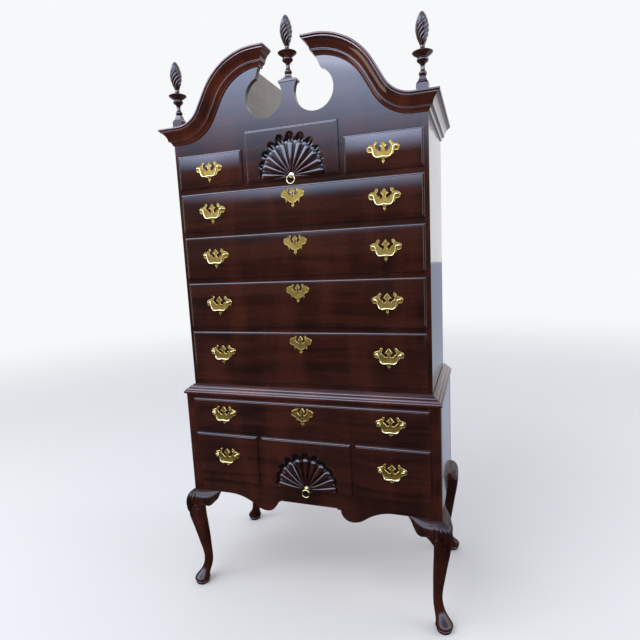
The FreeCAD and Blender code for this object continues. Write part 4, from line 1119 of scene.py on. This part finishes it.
post = {
    "boring": 0.0825,
    # radius and distance from the wood: collar, neck and round head
    "profile": [
        (0.01, 0, True), (4.2, 0, True), (4.2, 1.7, True), (3.8, 2.4), (3, 3, True), (2.5, 3.9),
        (2.4, 4.9, True), (2.9, 5.9), (3.4, 7.6), (3.5, 9.5), (3.3, 11.2), (2.5, 12.8), (1.3, 13.5),
        (0.01, 13.7, True),
    ],
    "steps": 3,
    "columns": 28,
}
eye = {
    "profile": [
        (0.01, 0, True), (9, 0, True), (9.2, 1), (8.4, 1.8), (6.6, 2, True), (5.6, 1.7, True), (4.2, 2.4),
        (3.2, 4.2), (3, 6.2), (3.9, 8), (4.2, 9.6), (3.8, 11.6), (2.2, 13.2), (0.01, 13.6, True),
    ],
    "steps": 3,
    "columns": 28,
}


def turnedPiece(name, shape, spots):
    # a profile turned about a line straight out of the wood, at each spot
    radius, reach = profileOf(shape)[:, :, None]
    turn = roundAngles(shape["columns"])
    shells = []
    for x, y, z in spots:
        points = [x + radius * np.cos(turn), y - reach + 0 * turn, z + radius * np.sin(turn)]
        shells.append(ringLoft(np.stack(points, -1)))
    return makePiece(name, *gather(shells))


bail = {
    # right half of the wire's line and its radius: middle, arm, and the pin in the post
    "wire": [
        (0, -29, 2.5), (8, -29.9, 2.5), (17, -30.8, 2.4), (24.4, -28.4, 2.2), (29.4, -21.6, 2.05),
        (31.8, -13, 1.95), (33.2, -5.4, 1.8), (35.8, -0.8, 1.9), (39.2, 0, 1.7), (42.2, 0, 1.7),
    ],
    "steps": 6,
    "columns": 20,
    "pivotBelow": 0.001732,
}
ring = {"radius": 0.014, "wire": 0.0017, "steps": 64, "columns": 16, "pivotBelow": 0.001559}


def pivotOf(pull, shape):
    # where a pull hangs: a little below the top of its node
    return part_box(pull)[1].z - shape["pivotBelow"]


def makeBail(name):
    # The half line and its mirror image, with a round wire carried along it; the middle stretch is straight.
    x, z, wire = flowThrough(bail["wire"], bail["steps"])
    count = bail["steps"] + 1
    z[:count] = np.linspace(z[0], z[count - 1], count)
    x, z, wire = (np.concatenate([way * part[:0:-1], part]) for way, part in ((-1, x), (1, z), (1, wire)))
    middle = middleOf(name)
    path = np.stack([middle[0] + x * 1e-3, middle[1] + 0 * x, pivotOf(name, bail) + z * 1e-3], 1)
    tube = tubeShell(path, wire * 1e-3, (0, 1, 0), bail["columns"])
    settle(makePiece(name + "_wire", *ringLoft(tube)), name, "brass", "brass", name)


def makeRing(name):
    # a round wire carried round an upright circle
    x, y, z = middleOf(name)
    turn = roundAngles(ring["steps"])
    path = np.stack([x + ring["radius"] * np.sin(turn), y + 0 * turn, z + ring["radius"] * np.cos(turn)], 1)
    points = tubeShell(path, np.full(ring["steps"], ring["wire"]), (0, 1, 0), ring["columns"], closed=True)
    faces = gridFaces(ring["steps"], ring["columns"], loopRows=True, loopColumns=True)
    settle(makePiece(name + "_wire", points, faces), name, "brass", "brass", name)


def makeBrass(name):
    # plates, posts and rosettes of one drawer, placed by its pulls
    low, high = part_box(name + "_front")
    wood = low.y
    made = []
    bails = [pull for pull in frame["bodies"] if pull.startswith(name + "_") and pull.endswith("bail")]
    if bails:
        spots = [(middleOf(pull)[0], wood, pivotOf(pull, bail)) for pull in bails]
        ends = [(x + side * post["boring"] / 2, y, z) for x, y, z in spots for side in (-1, 1)]
        made.append(("plate", platePiece(name + "_backplates", "outline", spots)))
        made.append(("brass", turnedPiece(name + "_posts", post, ends)))
    if name + "_ring" in frame["bodies"]:
        spot = (middleOf(name + "_ring")[0], wood + letIn, pivotOf(name + "_ring", ring))
        made.append(("brass", turnedPiece(name + "_rosette", eye, [spot])))
    if len(bails) == 2:
        lock = lockLevels[name] * 1e-3 + (low.z + high.z) / 2
        spot = (0, wood, lock)
        made.append(("plate", platePiece(name + "_escutcheon", "keyOutline", [spot], keyhole=True)))
        made.append(("hole", platePiece(name + "_keyhole", "keyhole", [(0, wood + letIn, lock)])))
    for finish, piece in made:
        node = [name + "_brass"] if piece is made[0][1] else []
        settle(piece, name, "brass", finish, *node)


for pullName in frame["bodies"]:
    if pullName.endswith("_bail"):
        makeBail(pullName)
    if pullName.endswith("_ring"):
        makeRing(pullName)
for drawerName in drawerNames:
    makeBrass(drawerName)
print("brass fitted")


# the CAD pieces that stay

kept = {
    "scalloped_apron": "caseLevel",
    "lower_carcase": "caseLevel",
    "upper_sides_and_back": "caseUpright",
    "upper_rails_and_runners": "railLevel",
    "scroll_board": "caseLevel",
    "bonnet": "bonnet",
}
for node, finish in kept.items():
    for place in frame["nodes"][node].material_slots:
        place.material = finishes[finish]
for drawerName in drawerNames:
    for place in frame["nodes"][drawerName + "_box"].material_slots:
        place.material = finishes["lining"]
print("case finished")
